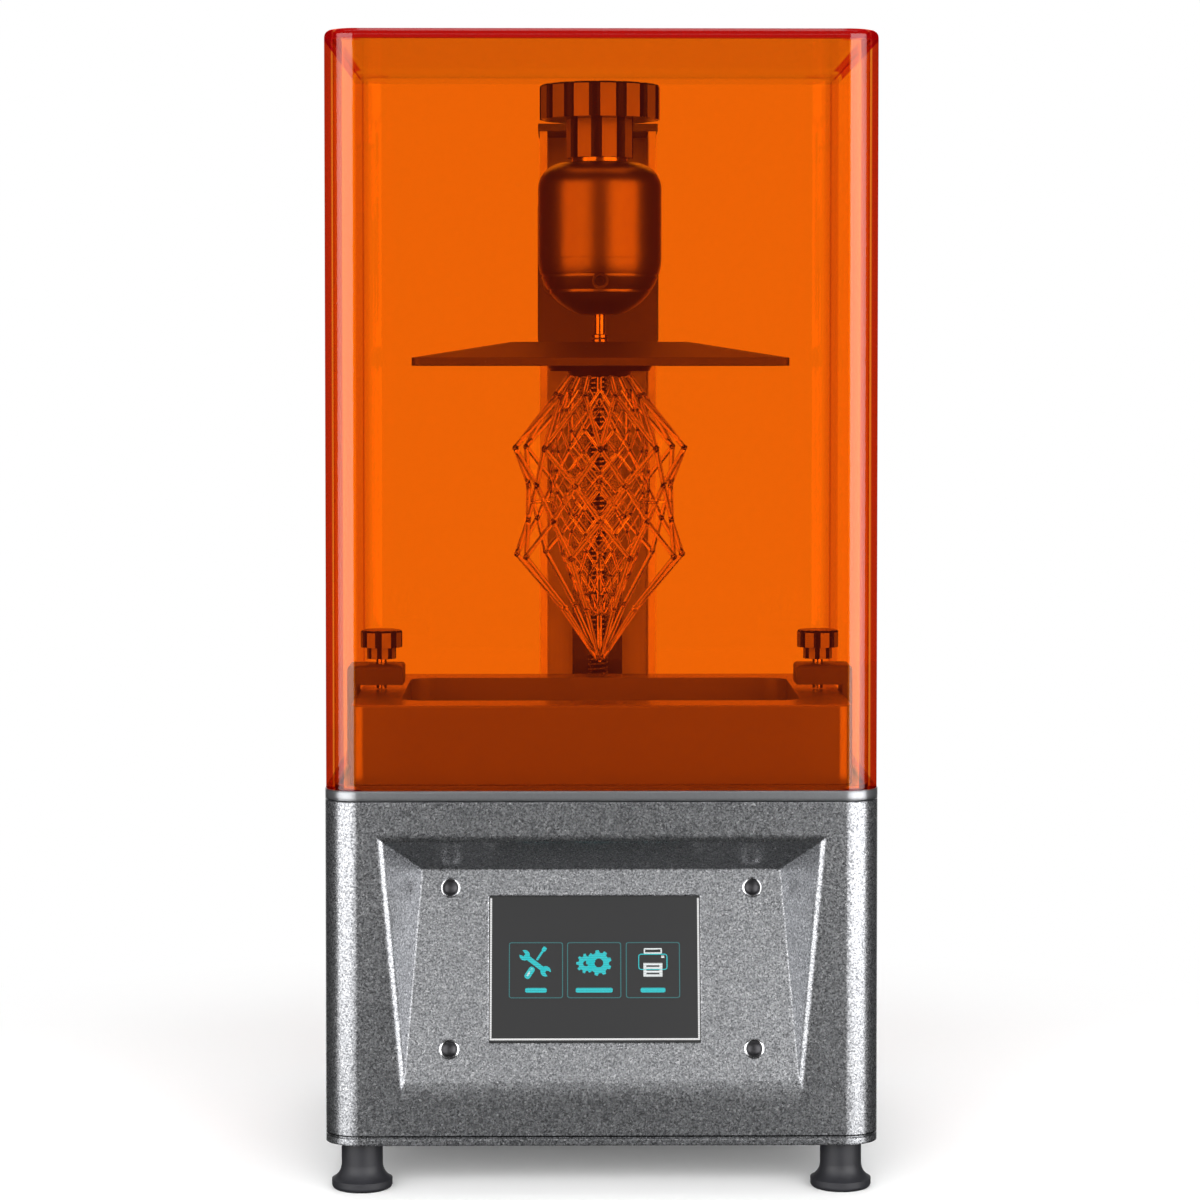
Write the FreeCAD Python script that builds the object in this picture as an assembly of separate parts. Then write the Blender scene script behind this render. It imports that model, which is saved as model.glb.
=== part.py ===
import FreeCAD, Part
import math
import os

from FreeCAD import Placement, Rotation, Vector

# Desktop resin printer. Millimetres, +Z up, the front faces -Y, origin at the bottom centre.

X_AXIS = Vector(1, 0, 0)
Y_AXIS = Vector(0, 1, 0)
Z_AXIS = Vector(0, 0, 1)

# ---------------------------------------------------------------- general fits
seat_gap = 0.3          # between pieces that move past each other
bore_gap = 0.05         # radial play of a shaft in its bore
through = 1.0           # how far a cutting tool overshoots a face

# ---------------------------------------------------------------- lower unit
width = 200.0
depth = 200.0
corner_r = 12.0
wall = 2.0
foot_h = 18.0
base_plate_t = 2.4
shadow_gap = 0.8
seam_inset = 1.0
housing_h = 120.8
deck_seam = 0.5
deck_rim_h = 3.5

foot_neck_r = 7.5
foot_pad_r = 11.0
foot_pad_h = 3.5
foot_neck_h = 9.0
foot_edge_r = 1.6
foot_inset = 13.0
screw_r = 1.5           # M3
screw_head_r = 2.75
screw_head_h = 2.0
foot_bore_r = 3.6
foot_bore_h = 10.0
tab_size = 24.0
tab_t = 2.5

# ---------------------------------------------------------------- front recess
recess_side = 20.7      # from the housing's side to the recess at its ceiling
recess_taper = 8.0      # how much narrower it is at the foot, on each side
panel_taper = 14.0      # how much narrower the panel's top edge is, on each side
recess_low_gap = 16.8   # foot of the sloping panel above the housing's lower edge
recess_top_gap = 13.8   # front edge of the ceiling below the housing's top
panel_top_gap = 27.0    # top edge of the sloping panel below the housing's top
recess_d = 20.0
recess_edge_r = 3.5
recess_foot_r = 25.0    # soft bend where the panel leaves the front
screen_w = 76.0
screen_h = 52.4
screen_x = -2.5
screen_low = 17.2       # lower edge of the screen, measured up the panel
screen_lip = 4.0
screen_module_t = 6.0
screen_fit = 0.3
fascia_screw_inset = 10.3   # from the end of the panel's top edge
fascia_screw_up = (14.7, 72.8)
fascia_head_r = 2.8
fascia_head_h = 1.6

# ---------------------------------------------------------------- cover
cover_inset = 0.3
cover_wall = 3.0
cover_top_t = 3.3
cover_edge_r = 2.5
cover_seat = 0.2
head_clear = 5.0        # top knob, fully unscrewed, to the cover's ceiling
lip_t = 1.4
lip_h = 1.5

# ---------------------------------------------------------------- vat, screen below it
vat_side_gap = 8.5      # from the unit's sides
vat_front_gap = 16.0    # from the unit's front
vat_back_gap = 10.0     # from the column
vat_top = 29.3          # height of the vat's rim above the deck
vat_corner_r = 5.0
vat_rim_r = 0.8
vat_side_wall = 17.5
vat_end_wall = 18.0
cavity_r = 9.0
film_t = 0.2
film_dip = 0.8
film_edge = 5.0
frame_edge = 5.0
frame_screw_n = 9
lcd_side_inset = 9.0    # from the vat's cavity
lcd_end_inset = 5.5
lcd_t = 1.6
lcd_ledge = 5.0

# ---------------------------------------------------------------- vat clamps
clamp_w = 20.0
clamp_clear = 0.9       # outer face of the clamp to the cover's wall
clamp_reach = 21.1
clamp_leg_t = 3.8
clamp_under = 31.7      # underside of the clamp arm above the deck
clamp_t = 7.3
clamp_edge_r = 1.5
knob_inset = 12.5       # axis of the clamp's screw from the clamp's outer face
clamp_screw_grip = 8.0
vat_stud_r = 2.0
vat_knob_r = 8.0
vat_knob_h = 8.0
vat_collar_r = 5.25
vat_collar_h = 3.0
vat_knob_rise = 2.0
vat_knob_flutes = 12
vat_flute_r = 1.3
stud_grip = 6.0

# ---------------------------------------------------------------- column and Z drive
column_w = 46.7
column_back_gap = 7.0   # from the unit's back
column_d = 40.0
column_wall = 3.0
column_over = 28.1      # top of the column above the carriage in its highest place
column_base_d = 18.0
column_base_t = 3.0
column_screw_x = 15.0
cap_over = 0.7
cap_t = 3.0
rail_w = 20.5
rail_d = 10.0
rail_groove = 2.0
rail_low = 15.0         # start of the rail above the deck
rail_high = 8.0         # end of the rail below the cap
rail_screw_n = 8
lead_r = 4.0
boss_r = 9.0
boss_h = 7.0
coupler_r = 9.5
coupler_h = 22.0
coupler_rise = 0.8
motor_size = 42.3
motor_h = 38.0
motor_shaft_r = 2.5
motor_mount_t = 2.5
motor_drop = 26.0       # the motor's face below the deck plate
motor_pillar_r = 4.0
motor_pilot_r = 11.0
motor_pilot_h = 2.0
motor_hole = 31.0
motor_screw_grip = 4.0
switch_w = 16.0
switch_h = 10.0
switch_button_r = 1.0

# ---------------------------------------------------------------- carriage and head
build_travel = 150.0
plate_rest = 2.6        # underside of the build plate above the deck in its lowest place
carriage_w = 48.3
carriage_low = 11.6     # lower edge of the carriage below the barrel's bottom
carriage_h = 58.3
carriage_t = 8.4
carriage_gap = 0.6      # carriage plate to the column's lips
block_w = 34.0
block_crown = 11.7
block_leg = 4.3
block_up = 9.4          # runner above the carriage's lower edge
block_h = 40.0
carrier_w = 30.0
carrier_up = 5.4
carrier_h = 48.0
nut_r = 5.1
nut_flange_r = 7.3
nut_flange_h = 3.5
arm_w = 28.0
arm_up = 25.8           # beam above the barrel's bottom
arm_h = 20.0
arm_flange_w = 44.0
arm_flange_t = 4.0
arm_flange_up = 8.8
arm_flange_h = 34.0
arm_screw_x = 18.0
arm_screw_inset = 6.0
arm_head_r = 3.5
arm_head_h = 3.0

barrel_r = 23.5
barrel_up = 10.6        # bottom of the barrel above the build plate
barrel_h = 57.4
barrel_side_up = 21.8   # where the straight side turns into the round bottom
barrel_shoulder = 10.0
barrel_foot_r = 8.0
seam_up = 21.1
band_up = (8.8, 14.6)   # two grooves of the clamping band above the barrel's bottom
band_groove = 0.5
ball_r = 9.0
ball_up = 13.8
liner_t = 2.95
liner_half_h = 6.0
cup_bore_r = 5.0
lock_r = 2.0
lock_bore_r = 3.0
lock_up = 12.3
lock_sink = 3.0

knob_wide_r = 23.0
knob_wide_h = 13.1
knob_neck_r = 12.8
knob_neck_h = 14.5
knob_collar_r = 10.5
knob_collar_h = 1.8
knob_rim_sides = 24
knob_neck_sides = 16
knob_edge_h = 0.8
knob_crown_h = 0.9
knob_crown_inset = 2.4
knob_stud_r = 4.0
knob_stud_deep = 24.0
knob_stud_grip = 22.0
knob_lift = 5.5

# ---------------------------------------------------------------- build plate and sample print
plate_side_gap = 4.0    # to the vat's cavity
plate_end_gap = 8.0
plate_corner_r = 3.0
plate_rim_h = 3.0
plate_slope_h = 6.0
plate_top_w = 67.0
plate_top_d = 36.0
stem_r = 2.75
stem_foot_r = 5.5
stem_foot_h = 1.6
raft_r = 20.0
raft_h = 2.0
raft_step_r = 12.5
raft_step_h = 2.0
# radius and drop below the plate of each ring that the lantern's skin passes through
print_rings = ((13.0, 4.0), (17.5, 11.0), (34.0, 31.0), (28.5, 45.0), (29.0, 52.0),
               (28.5, 58.5), (33.5, 72.0), (15.5, 92.0), (0.5, 113.0))
print_wall = 1.6
print_windows = 16      # diamond windows round each ring
window_share = 0.76     # of the space between the crossings

# ---------------------------------------------------------------- lamp below the screen
lamp_fan_size = 60.0
lamp_fan_t = 15.0
sink_w = 70.0
sink_d = 60.0
sink_base_t = 4.0
sink_fin_h = 14.0
sink_fin_t = 1.5
sink_fins = 11
lamp_board_w = 66.0
lamp_board_d = 56.0
board_t = 1.6
led_size = 3.5
led_h = 1.2
led_columns = 4
led_rows = 3
led_pitch = 13.0
hood_low_w = 60.0
hood_low_d = 50.0
hood_inset = 2.0        # of the reflector's mouth from the screen's edge
hood_t = 1.5
vent_slots = 7
vent_slot_w = 3.2
vent_slot_l = 44.0
vent_pitch = 6.6

# ---------------------------------------------------------------- electronics and rear
board_w = 120.0
board_d = 56.0
board_back_gap = 18.0   # from the housing's back wall
chip_size = 15.0
chip_h = 1.6
driver_size = 9.0
driver_h = 5.0
can_r = 4.0
can_h = 10.0
header_w = 24.0
header_d = 6.0
standoff_h = 8.0
standoff_r = 3.0
standoff_inset = 5.0
rear_side = 25.0        # rear opening from the housing's sides
rear_low_gap = 12.8     # from the housing's lower edge
rear_top_gap = 16.0     # from the housing's top
rear_lap = 6.0
rear_t = 2.0
rear_fan_size = 50.0
rear_fan_t = 12.0
fan_wall = 2.0
fan_hub_r = 11.0
fan_blades = 7
fan_blade_t = 1.2
fan_blade_pitch = 38.0
fan_tip_gap = 1.0
fan_axial_gap = 0.8
fan_spider_t = 2.0
fan_hole_inset = 4.5
fan_pin_r = 1.5
grille_rings = 3
grille_bar = 2.2
port_inset = 23.0       # ports and switch from the rear panel's ends
port_drop = 18.0        # ports below, and the switch above, the middle of the rear panel
inlet_w = 14.0
inlet_h = 12.0
inlet_l = 14.0
inlet_r = 3.2
inlet_pin_r = 1.1
usb_w = 13.2
usb_h = 5.8
usb_l = 16.0
usb_wall = 0.5
usb_tongue_t = 1.6
switch_frame_w = 15.0
switch_frame_h = 21.0
switch_bezel = 1.5
switch_bezel_t = 0.8
switch_deep = 12.0
rocker_gap = 0.4
rocker_proud = 1.0
rocker_tilt = 8.0
rocker_pin_r = 1.2

# ---------------------------------------------------------------- levels and places worked out
base_plate_z = foot_h
floor_z = foot_h + base_plate_t + shadow_gap
housing_top = floor_z + housing_h
deck_z = housing_top + deck_seam + deck_rim_h
cover_z = deck_z + cover_seat
cover_w = width - 2 * cover_inset
cover_d = depth - 2 * cover_inset
half_w = width / 2
half_d = depth / 2
vat_rim_z = deck_z + vat_top
foot_places = [(sx * (half_w - foot_inset), sy * (half_d - foot_inset))
               for sx in (-1, 1) for sy in (-1, 1)]
column_y0 = half_d - column_back_gap - column_d
column_web_y = column_y0 + column_d - column_wall
rail_y = column_web_y - rail_d
clamp_arm_z = deck_z + clamp_under
clamp_top = clamp_arm_z + clamp_t
clamp_out = half_w - cover_inset - cover_wall - clamp_clear
knob_x = clamp_out - knob_inset
recess_top_half = half_w - recess_side
recess_low_half = recess_top_half - recess_taper
panel_top_half = recess_top_half - panel_taper
recess_z0 = floor_z + recess_low_gap
recess_z1 = housing_top - recess_top_gap
panel_z1 = housing_top - panel_top_gap
fascia_screw_x = panel_top_half - fascia_screw_inset
panel_tilt = math.degrees(math.atan2(recess_d, panel_z1 - recess_z0))
screen_up = screen_low + screen_h / 2
vat_front_y = vat_front_gap - half_d
vat_back_y = column_y0 - vat_back_gap
vat_w = width - 2 * vat_side_gap
vat_d = vat_back_y - vat_front_y
vat_y = (vat_front_y + vat_back_y) / 2
cavity_w = vat_w - 2 * vat_side_wall
cavity_d = vat_d - 2 * vat_end_wall
lcd_w = cavity_w - 2 * lcd_side_inset
lcd_d = cavity_d - 2 * lcd_end_inset
plate_w = cavity_w - 2 * plate_side_gap
plate_d = cavity_d - 2 * plate_end_gap
plate_z = deck_z + plate_rest + build_travel
plate_top_z = plate_z + plate_rim_h + plate_slope_h
barrel_z0 = plate_top_z + barrel_up
barrel_z1 = barrel_z0 + barrel_h
barrel_side_z = barrel_z0 + barrel_side_up
seam_z = barrel_z0 + seam_up
ball_z = barrel_z0 + ball_up
arm_z0 = barrel_z0 + arm_up
arm_flange_z0 = barrel_z0 + arm_flange_up
carriage_z0 = barrel_z0 - carriage_low
carriage_z1 = carriage_z0 + carriage_h
block_z0 = carriage_z0 + block_up
carrier_z0 = carriage_z0 + carrier_up
column_top = carriage_z1 + column_over
knob_top = barrel_z1 + knob_collar_h + bore_gap + knob_neck_h + knob_wide_h
cover_h = knob_top + knob_lift + head_clear + cover_top_t - cover_z
head_x = 0.0
head_y = vat_y
rear_w = width - 2 * rear_side
port_x = rear_w / 2 - port_inset
rear_h = housing_h - rear_low_gap - rear_top_gap
rear_z = floor_z + rear_low_gap + rear_h / 2
inlet_z = rear_z - port_drop
usb_z = inlet_z
rocker_z = rear_z + port_drop
board_y = half_d - wall - board_back_gap - board_d / 2
hood_high_w = lcd_w - 2 * hood_inset
hood_high_d = lcd_d - 2 * hood_inset
rear_plate_y = half_d - wall - rear_t
sink_z = floor_z + lamp_fan_t
lamp_board_z = sink_z + sink_fin_h + sink_base_t
hood_z = lamp_board_z + board_t
mount_z = housing_top - motor_drop
coupler_z = mount_z + motor_mount_t + coupler_rise
coupler_middle = coupler_z + coupler_h * 0.45
carriage_back = column_y0 - carriage_gap
carriage_front = carriage_back - carriage_t
block_y = rail_y - seat_gap - block_crown
screw_y = (carriage_back + block_y) / 2
switch_z = deck_z + column_base_t


# ================================================================ shared shapes
def box(x0, x1, y0, y1, z0, z1):
    """Upright block between the given faces."""
    return Part.makeBox(x1 - x0, y1 - y0, z1 - z0, Vector(x0, y0, z0))


def centred(w, d, z0, z1, x=0.0, y=0.0):
    """Upright block centred on x, y."""
    return box(x - w / 2, x + w / 2, y - d / 2, y + d / 2, z0, z1)


def rounded_wire(w, d, r, z, x=0.0, y=0.0):
    """Closed outline of a rectangle with rounded corners at height z."""
    edges = []
    corners = [(1, -1, 270), (1, 1, 0), (-1, 1, 90), (-1, -1, 180)]
    last = None
    first = None
    for sx, sy, start in corners:
        centre = Vector(x + sx * (w / 2 - r), y + sy * (d / 2 - r), z)
        circle = Part.Circle(centre, Z_AXIS, r)
        arc = Part.Arc(circle, math.radians(start), math.radians(start + 90)).toShape()
        ends = [arc.valueAt(arc.FirstParameter), arc.valueAt(arc.LastParameter)]
        if last is not None:
            edges.append(Part.makeLine(last, ends[0]))
        else:
            first = ends[0]
        edges.append(arc)
        last = ends[1]
    edges.append(Part.makeLine(last, first))
    return Part.Wire(edges)


def rounded_block(w, d, r, z0, z1, x=0.0, y=0.0):
    """Upright block with rounded vertical edges, centred on x, y."""
    face = Part.Face(rounded_wire(w, d, r, z0, x, y))
    return face.extrude(Vector(0, 0, z1 - z0))


def post(r, z0, z1, x=0.0, y=0.0):
    """Upright cylinder."""
    return Part.makeCylinder(r, z1 - z0, Vector(x, y, z0))


def rod(r, start, direction, length):
    """Cylinder from a point along a direction."""
    return Part.makeCylinder(r, length, start, direction)


def spin(points, x=0.0, y=0.0):
    """Solid of revolution about the upright line through x, y from (radius, z) points."""
    corners = [Vector(r, 0, z) for r, z in points]
    face = Part.Face(Part.makePolygon(corners + [corners[0]]))
    solid = face.revolve(Vector(0, 0, 0), Z_AXIS, 360)
    solid.translate(Vector(x, y, 0))
    return solid


def spin_edges(edges, x=0.0, y=0.0):
    """Solid of revolution about the upright line through x, y from edges in the XZ plane."""
    solid = Part.Face(Part.Wire(edges)).revolve(Vector(0, 0, 0), Z_AXIS, 360)
    solid.translate(Vector(x, y, 0))
    return solid


def line(a, b):
    """Straight edge in the XZ plane between (radius, z) points."""
    return Part.makeLine(Vector(a[0], 0, a[1]), Vector(b[0], 0, b[1]))


def bend(a, middle, b):
    """Arc in the XZ plane through three (radius, z) points."""
    points = [Vector(p[0], 0, p[1]) for p in (a, middle, b)]
    return Part.Arc(*points).toShape()


def ring_of(tool, count, x=0.0, y=0.0):
    """Copies of a tool spaced evenly about the upright line through x, y."""
    copies = []
    for i in range(count):
        copy = tool.copy()
        copy.rotate(Vector(x, y, 0), Z_AXIS, 360.0 * i / count)
        copies.append(copy)
    return copies


def mirrored(shape):
    """The right-hand twin of a left-hand piece."""
    return shape.mirror(Vector(0, 0, 0), X_AXIS)


def join(shapes):
    """One solid from shapes that share faces or overlap."""
    result = shapes[0].fuse(shapes[1:]) if len(shapes) > 1 else shapes[0]
    return result.removeSplitter()


def cap_screw(shank_r, shank_l, head_r, head_h):
    """Socket cap screw: the underside of its head lies at the origin, the shank points to -Z."""
    head = post(head_r, 0, head_h)
    shank = post(shank_r, -shank_l, 0)
    socket = post(head_r * 0.5, head_h * 0.4, head_h + through)
    return head.fuse(shank).cut(socket).removeSplitter()


def countersunk_screw(shank_r, shank_l, head_r, head_h):
    """Flat-headed screw: the top of its head lies at the origin, the shank points to -Z."""
    head = Part.makeCone(shank_r, head_r, head_h, Vector(0, 0, -head_h))
    shank = post(shank_r, -shank_l, -head_h)
    return head.fuse(shank).removeSplitter()


def placed(shape, position, axis=Z_AXIS, angle=0.0):
    """Copy of a shape turned about an axis through its origin, then moved."""
    copy = shape.copy()
    copy.Placement = Placement(position, Rotation(axis, angle))
    return copy


def facing_back(shape, position):
    """Place a shape whose +Z looks outward so that it looks to +Y."""
    return placed(shape, position, X_AXIS, -90)


def facing_front(shape, position):
    """Place a shape whose +Z looks outward so that it looks to -Y."""
    return placed(shape, position, X_AXIS, 90)


# ================================================================ lower unit
def recess_wedge():
    """Solid removed from the housing: sloping panel, two slanted cheeks and a ceiling."""
    front = -half_d
    back = front + recess_d
    a = [Vector(s * recess_top_half, front, recess_z1) for s in (-1, 1)]
    b = [Vector(s * recess_low_half, front, recess_z0) for s in (-1, 1)]
    c = [Vector(s * panel_top_half, back, panel_z1) for s in (-1, 1)]
    outlines = [(a[0], a[1], b[1], b[0]), (b[0], b[1], c[1], c[0]),
                (a[0], c[0], c[1], a[1]), (a[0], b[0], c[0]), (a[1], c[1], b[1])]
    faces = [Part.Face(Part.makePolygon(list(o) + [o[0]])) for o in outlines]
    return Part.Solid(Part.makeShell(faces))


def on_panel(shape, x, up, out=0.0):
    """Place a shape on the sloping panel: +Y runs up the panel, +Z looks out of it."""
    turn = Rotation(X_AXIS, 90 - panel_tilt)
    foot = Vector(0, -half_d, recess_z0)
    copy = shape.copy()
    copy.Placement = Placement(foot + turn.multVec(Vector(x, up, out)), turn)
    return copy


def mouth_edges(shape):
    """The front edges of the recess that are rolled over: its ceiling and both cheeks."""
    found = []
    for edge in shape.Edges:
        ends = [v.Point for v in edge.Vertexes]
        if len(ends) != 2 or any(abs(p.y + half_d) > 1e-6 for p in ends):
            continue
        zs = sorted(p.z for p in ends)
        if zs[1] > recess_z1 - 1e-6 and zs[1] < recess_z1 + 1e-6:
            found.append(edge)
    return found


def foot_bend(shape):
    """The shallow edge where the sloping panel leaves the front."""
    found = []
    for edge in shape.Edges:
        points = [v.Point for v in edge.Vertexes]
        if all(abs(p.y + half_d) < 1e-6 and abs(p.z - recess_z0) < 1e-6 for p in points):
            found.append(edge)
    return found


def corner_tabs(z0):
    """Four corner gussets of the housing that the screws of deck and bottom plate reach."""
    inner = rounded_block(width - wall, depth - wall, corner_r - wall / 2, z0, z0 + tab_t)
    tabs = []
    for sx in (-1, 1):
        for sy in (-1, 1):
            x = sx * (half_w - tab_size / 2)
            y = sy * (half_d - tab_size / 2)
            tabs.append(inner.common(centred(tab_size, tab_size, z0, z0 + tab_t, x, y)))
    return tabs


def lower_housing():
    """Sheet metal body with the recessed control panel, open at the top and bottom."""
    wedge = recess_wedge()
    outer = rounded_block(width, depth, corner_r, floor_z, housing_top).cut(wedge)
    outer = outer.makeFillet(recess_edge_r, mouth_edges(outer))
    outer = outer.makeFillet(recess_foot_r, foot_bend(outer))
    inner = rounded_block(width - 2 * wall, depth - 2 * wall, corner_r - wall,
                          floor_z - through, housing_top + through)
    inner = inner.cut(wedge.makeOffsetShape(wall, 1e-4, join=2))
    shell = outer.cut(inner)
    shell = join([shell] + corner_tabs(floor_z) + corner_tabs(housing_top - tab_t))
    window = Part.makeBox(screen_w + 2 * screen_fit, screen_h + 2 * screen_fit, 4 * wall,
                          Vector(-screen_w / 2 - screen_fit, -screen_h / 2 - screen_fit,
                                 -3 * wall))
    shell = shell.cut(on_panel(window, screen_x, screen_up))
    hole = post(screw_r, -2 * wall, wall)
    for sx in (-1, 1):
        for up in fascia_screw_up:
            shell = shell.cut(on_panel(hole, sx * fascia_screw_x, up))
    for x, y in foot_places:
        shell = shell.cut(post(screw_r, floor_z - through, housing_top + through, x, y))
    opening_w = rear_w - 2 * rear_lap
    opening_h = rear_h - 2 * rear_lap
    rear_window = rounded_block(opening_w, opening_h, rear_lap / 2, -through, wall + through)
    shell = shell.cut(facing_back(rear_window, Vector(0, half_d - wall, rear_z)))
    sink = Part.makeCone(screw_r, screw_head_r, wall, Vector(0, 0, -wall))
    for x, z in rear_screw_places():
        shell = shell.cut(facing_back(sink, Vector(x, half_d, z)))
    return shell


def rear_screw_places():
    """Centres of the four screws that hold the rear panel."""
    return [(sx * (rear_w - rear_lap) / 2, rear_z + sz * (rear_h - rear_lap) / 2)
            for sx in (-1, 1) for sz in (-1, 1)]


def bottom_plate():
    """Floor of the unit with a stepped rim that leaves a shadow line under the housing."""
    step_z = base_plate_z + base_plate_t
    plate = rounded_block(width, depth, corner_r, base_plate_z, step_z)
    step = rounded_block(width - 2 * seam_inset, depth - 2 * seam_inset,
                         corner_r - seam_inset, step_z, floor_z)
    plate = join([plate, step])
    for x, y in foot_places:
        plate = plate.cut(post(screw_r, base_plate_z - through, floor_z + through, x, y))
    for i in range(vent_slots):
        y = vat_y + (i - (vent_slots - 1) / 2) * vent_pitch
        reach = math.sqrt(max((vent_slot_l / 2) ** 2 - (y - vat_y) ** 2, 0.0)) * 2
        plate = plate.cut(rounded_block(reach + vent_slot_w, vent_slot_w, vent_slot_w * 0.49,
                                        base_plate_z - through, floor_z + through, 0, y))
    return plate


def rubber_feet():
    """Four feet: a straight neck that flares into a wide pad."""
    flare = (foot_neck_r + 0.9, foot_pad_h + (foot_neck_h - foot_pad_h) * 0.42)
    pad_side = foot_edge_r
    edges = [
        line((foot_bore_r, 0), (foot_pad_r - foot_edge_r, 0)),
        bend((foot_pad_r - foot_edge_r, 0),
             (foot_pad_r - foot_edge_r * 0.293, foot_edge_r * 0.293),
             (foot_pad_r, pad_side)),
        line((foot_pad_r, pad_side), (foot_pad_r, foot_pad_h)),
        bend((foot_pad_r, foot_pad_h), flare, (foot_neck_r, foot_neck_h)),
        line((foot_neck_r, foot_neck_h), (foot_neck_r, foot_h)),
        line((foot_neck_r, foot_h), (screw_r, foot_h)),
        line((screw_r, foot_h), (screw_r, foot_bore_h)),
        line((screw_r, foot_bore_h), (foot_bore_r, foot_bore_h)),
        line((foot_bore_r, foot_bore_h), (foot_bore_r, 0)),
    ]
    foot = spin_edges(edges)
    return [placed(foot, Vector(x, y, 0)) for x, y in foot_places]


def foot_screws():
    """Screws that hold each foot and the bottom plate to the housing's corner gussets."""
    length = floor_z + tab_t - foot_bore_h
    screw = cap_screw(screw_r, length, screw_head_r, screw_head_h)
    return [placed(screw, Vector(x, y, foot_bore_h), X_AXIS, 180) for x, y in foot_places]


def lcd_pocket():
    """Pocket of the deck plate that the screen lies in."""
    return centred(lcd_w, lcd_d, deck_z - lcd_t, deck_z + through, 0, vat_y)


def deck_plate():
    """Top plate of the lower unit: rim, locating lip for the cover, screen pocket."""
    rim_z = housing_top + deck_seam
    plate = rounded_block(width, depth, corner_r, rim_z, deck_z)
    step = rounded_block(width - 2 * seam_inset, depth - 2 * seam_inset,
                         corner_r - seam_inset, housing_top, rim_z)
    lip_w = cover_w - 2 * cover_wall - 2 * seat_gap
    lip_d = cover_d - 2 * cover_wall - 2 * seat_gap
    lip_r = corner_r - cover_wall - seat_gap
    lip = rounded_block(lip_w, lip_d, lip_r, deck_z, deck_z + lip_h)
    lip = lip.cut(rounded_block(lip_w - 2 * lip_t, lip_d - 2 * lip_t, lip_r - lip_t,
                                deck_z, deck_z + lip_h))
    gap = clamp_w + 2 * through
    lip = lip.cut(box(-half_w, half_w, vat_y - gap / 2, vat_y + gap / 2,
                      deck_z - through, deck_z + lip_h + through))
    plate = join([plate, step, lip])
    plate = plate.cut(lcd_pocket())
    plate = plate.cut(centred(lcd_w - 2 * lcd_ledge, lcd_d - 2 * lcd_ledge,
                              housing_top - through, deck_z, 0, vat_y))
    plate = plate.cut(post(lead_r + through, housing_top - through, deck_z + through,
                           0, screw_y))
    head = Part.makeCone(screw_r, screw_head_r, screw_head_h, Vector(0, 0, -screw_head_h))
    for x, y in foot_places:
        plate = plate.cut(post(screw_r, housing_top - through, deck_z + through, x, y))
        plate = plate.cut(placed(head, Vector(x, y, deck_z)))
    for x, y in clamp_screw_places():
        plate = plate.cut(post(screw_r, housing_top - through, deck_z + through, x, y))
    for x, y in column_screw_places():
        plate = plate.cut(post(screw_r, housing_top - through, deck_z + through, x, y))
    for x, y in motor_hole_places():
        plate = plate.cut(post(screw_r, housing_top - through, deck_z + through, x, y))
        plate = plate.cut(placed(head, Vector(x, y, deck_z)))
    return plate


def deck_screws():
    """Flat-headed screws in the corners of the deck plate."""
    screw = countersunk_screw(screw_r, deck_z - housing_top + tab_t, screw_head_r,
                              screw_head_h)
    return [placed(screw, Vector(x, y, deck_z)) for x, y in foot_places]


def lcd_panel():
    """Masking screen, flush with the deck."""
    return centred(lcd_w, lcd_d, deck_z - lcd_t, deck_z, 0, vat_y)


def touch_screen():
    """Display: glass in the panel's window and the wider module behind the sheet."""
    glass = Part.makeBox(screen_w, screen_h, wall, Vector(-screen_w / 2, -screen_h / 2, -wall))
    module = Part.makeBox(screen_w + 2 * screen_lip, screen_h + 2 * screen_lip,
                          screen_module_t,
                          Vector(-screen_w / 2 - screen_lip, -screen_h / 2 - screen_lip,
                                 -wall - screen_module_t))
    return on_panel(join([glass, module]), screen_x, screen_up)


def fascia_screws():
    """Four button-headed screws of the control panel."""
    dome = fascia_head_r ** 2 / (2 * fascia_head_h) + fascia_head_h / 2
    head = Part.makeSphere(dome, Vector(0, 0, fascia_head_h - dome))
    head = head.common(post(fascia_head_r, 0, fascia_head_h))
    head = head.cut(post(fascia_head_r * 0.42, fascia_head_h * 0.4, 2 * fascia_head_h))
    screw = join([head, post(screw_r, -3 * wall, 0)])
    return [on_panel(screw, sx * fascia_screw_x, up)
            for sx in (-1, 1) for up in fascia_screw_up]


# ================================================================ cover
def clear_cover():
    """Tinted hood, open below."""
    outer = rounded_block(cover_w, cover_d, corner_r, cover_z, cover_z + cover_h)
    top = [e for e in outer.Edges
           if all(abs(v.Z - cover_z - cover_h) < 1e-6 for v in e.Vertexes)]
    outer = outer.makeFillet(cover_edge_r, top)
    inner = rounded_block(cover_w - 2 * cover_wall, cover_d - 2 * cover_wall,
                          corner_r - cover_wall, cover_z - through,
                          cover_z + cover_h - cover_top_t)
    return outer.cut(inner)


# ================================================================ vat
def vat_body():
    """Resin tank: a wide-rimmed frame with a pocket below for the film."""
    low = deck_z + seat_gap
    body = rounded_block(vat_w, vat_d, vat_corner_r, low, vat_rim_z, 0, vat_y)
    rim = [e for e in body.Edges if all(abs(v.Z - vat_rim_z) < 1e-6 for v in e.Vertexes)]
    body = body.makeFillet(vat_rim_r, rim)
    body = body.cut(rounded_block(cavity_w, cavity_d, cavity_r, low - through,
                                  vat_rim_z + through, 0, vat_y))
    pocket = rounded_block(cavity_w + 2 * film_edge, cavity_d + 2 * film_edge,
                           cavity_r, low - through, low + film_dip + film_t, 0, vat_y)
    body = body.cut(pocket)
    for x, y in frame_screw_places():
        body = body.cut(post(frame_screw_r(), low, low + 5 * film_dip, x, y))
    return body


def frame_screw_r():
    """Small screws that fit in the film frame's width."""
    return frame_edge * 0.16


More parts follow.
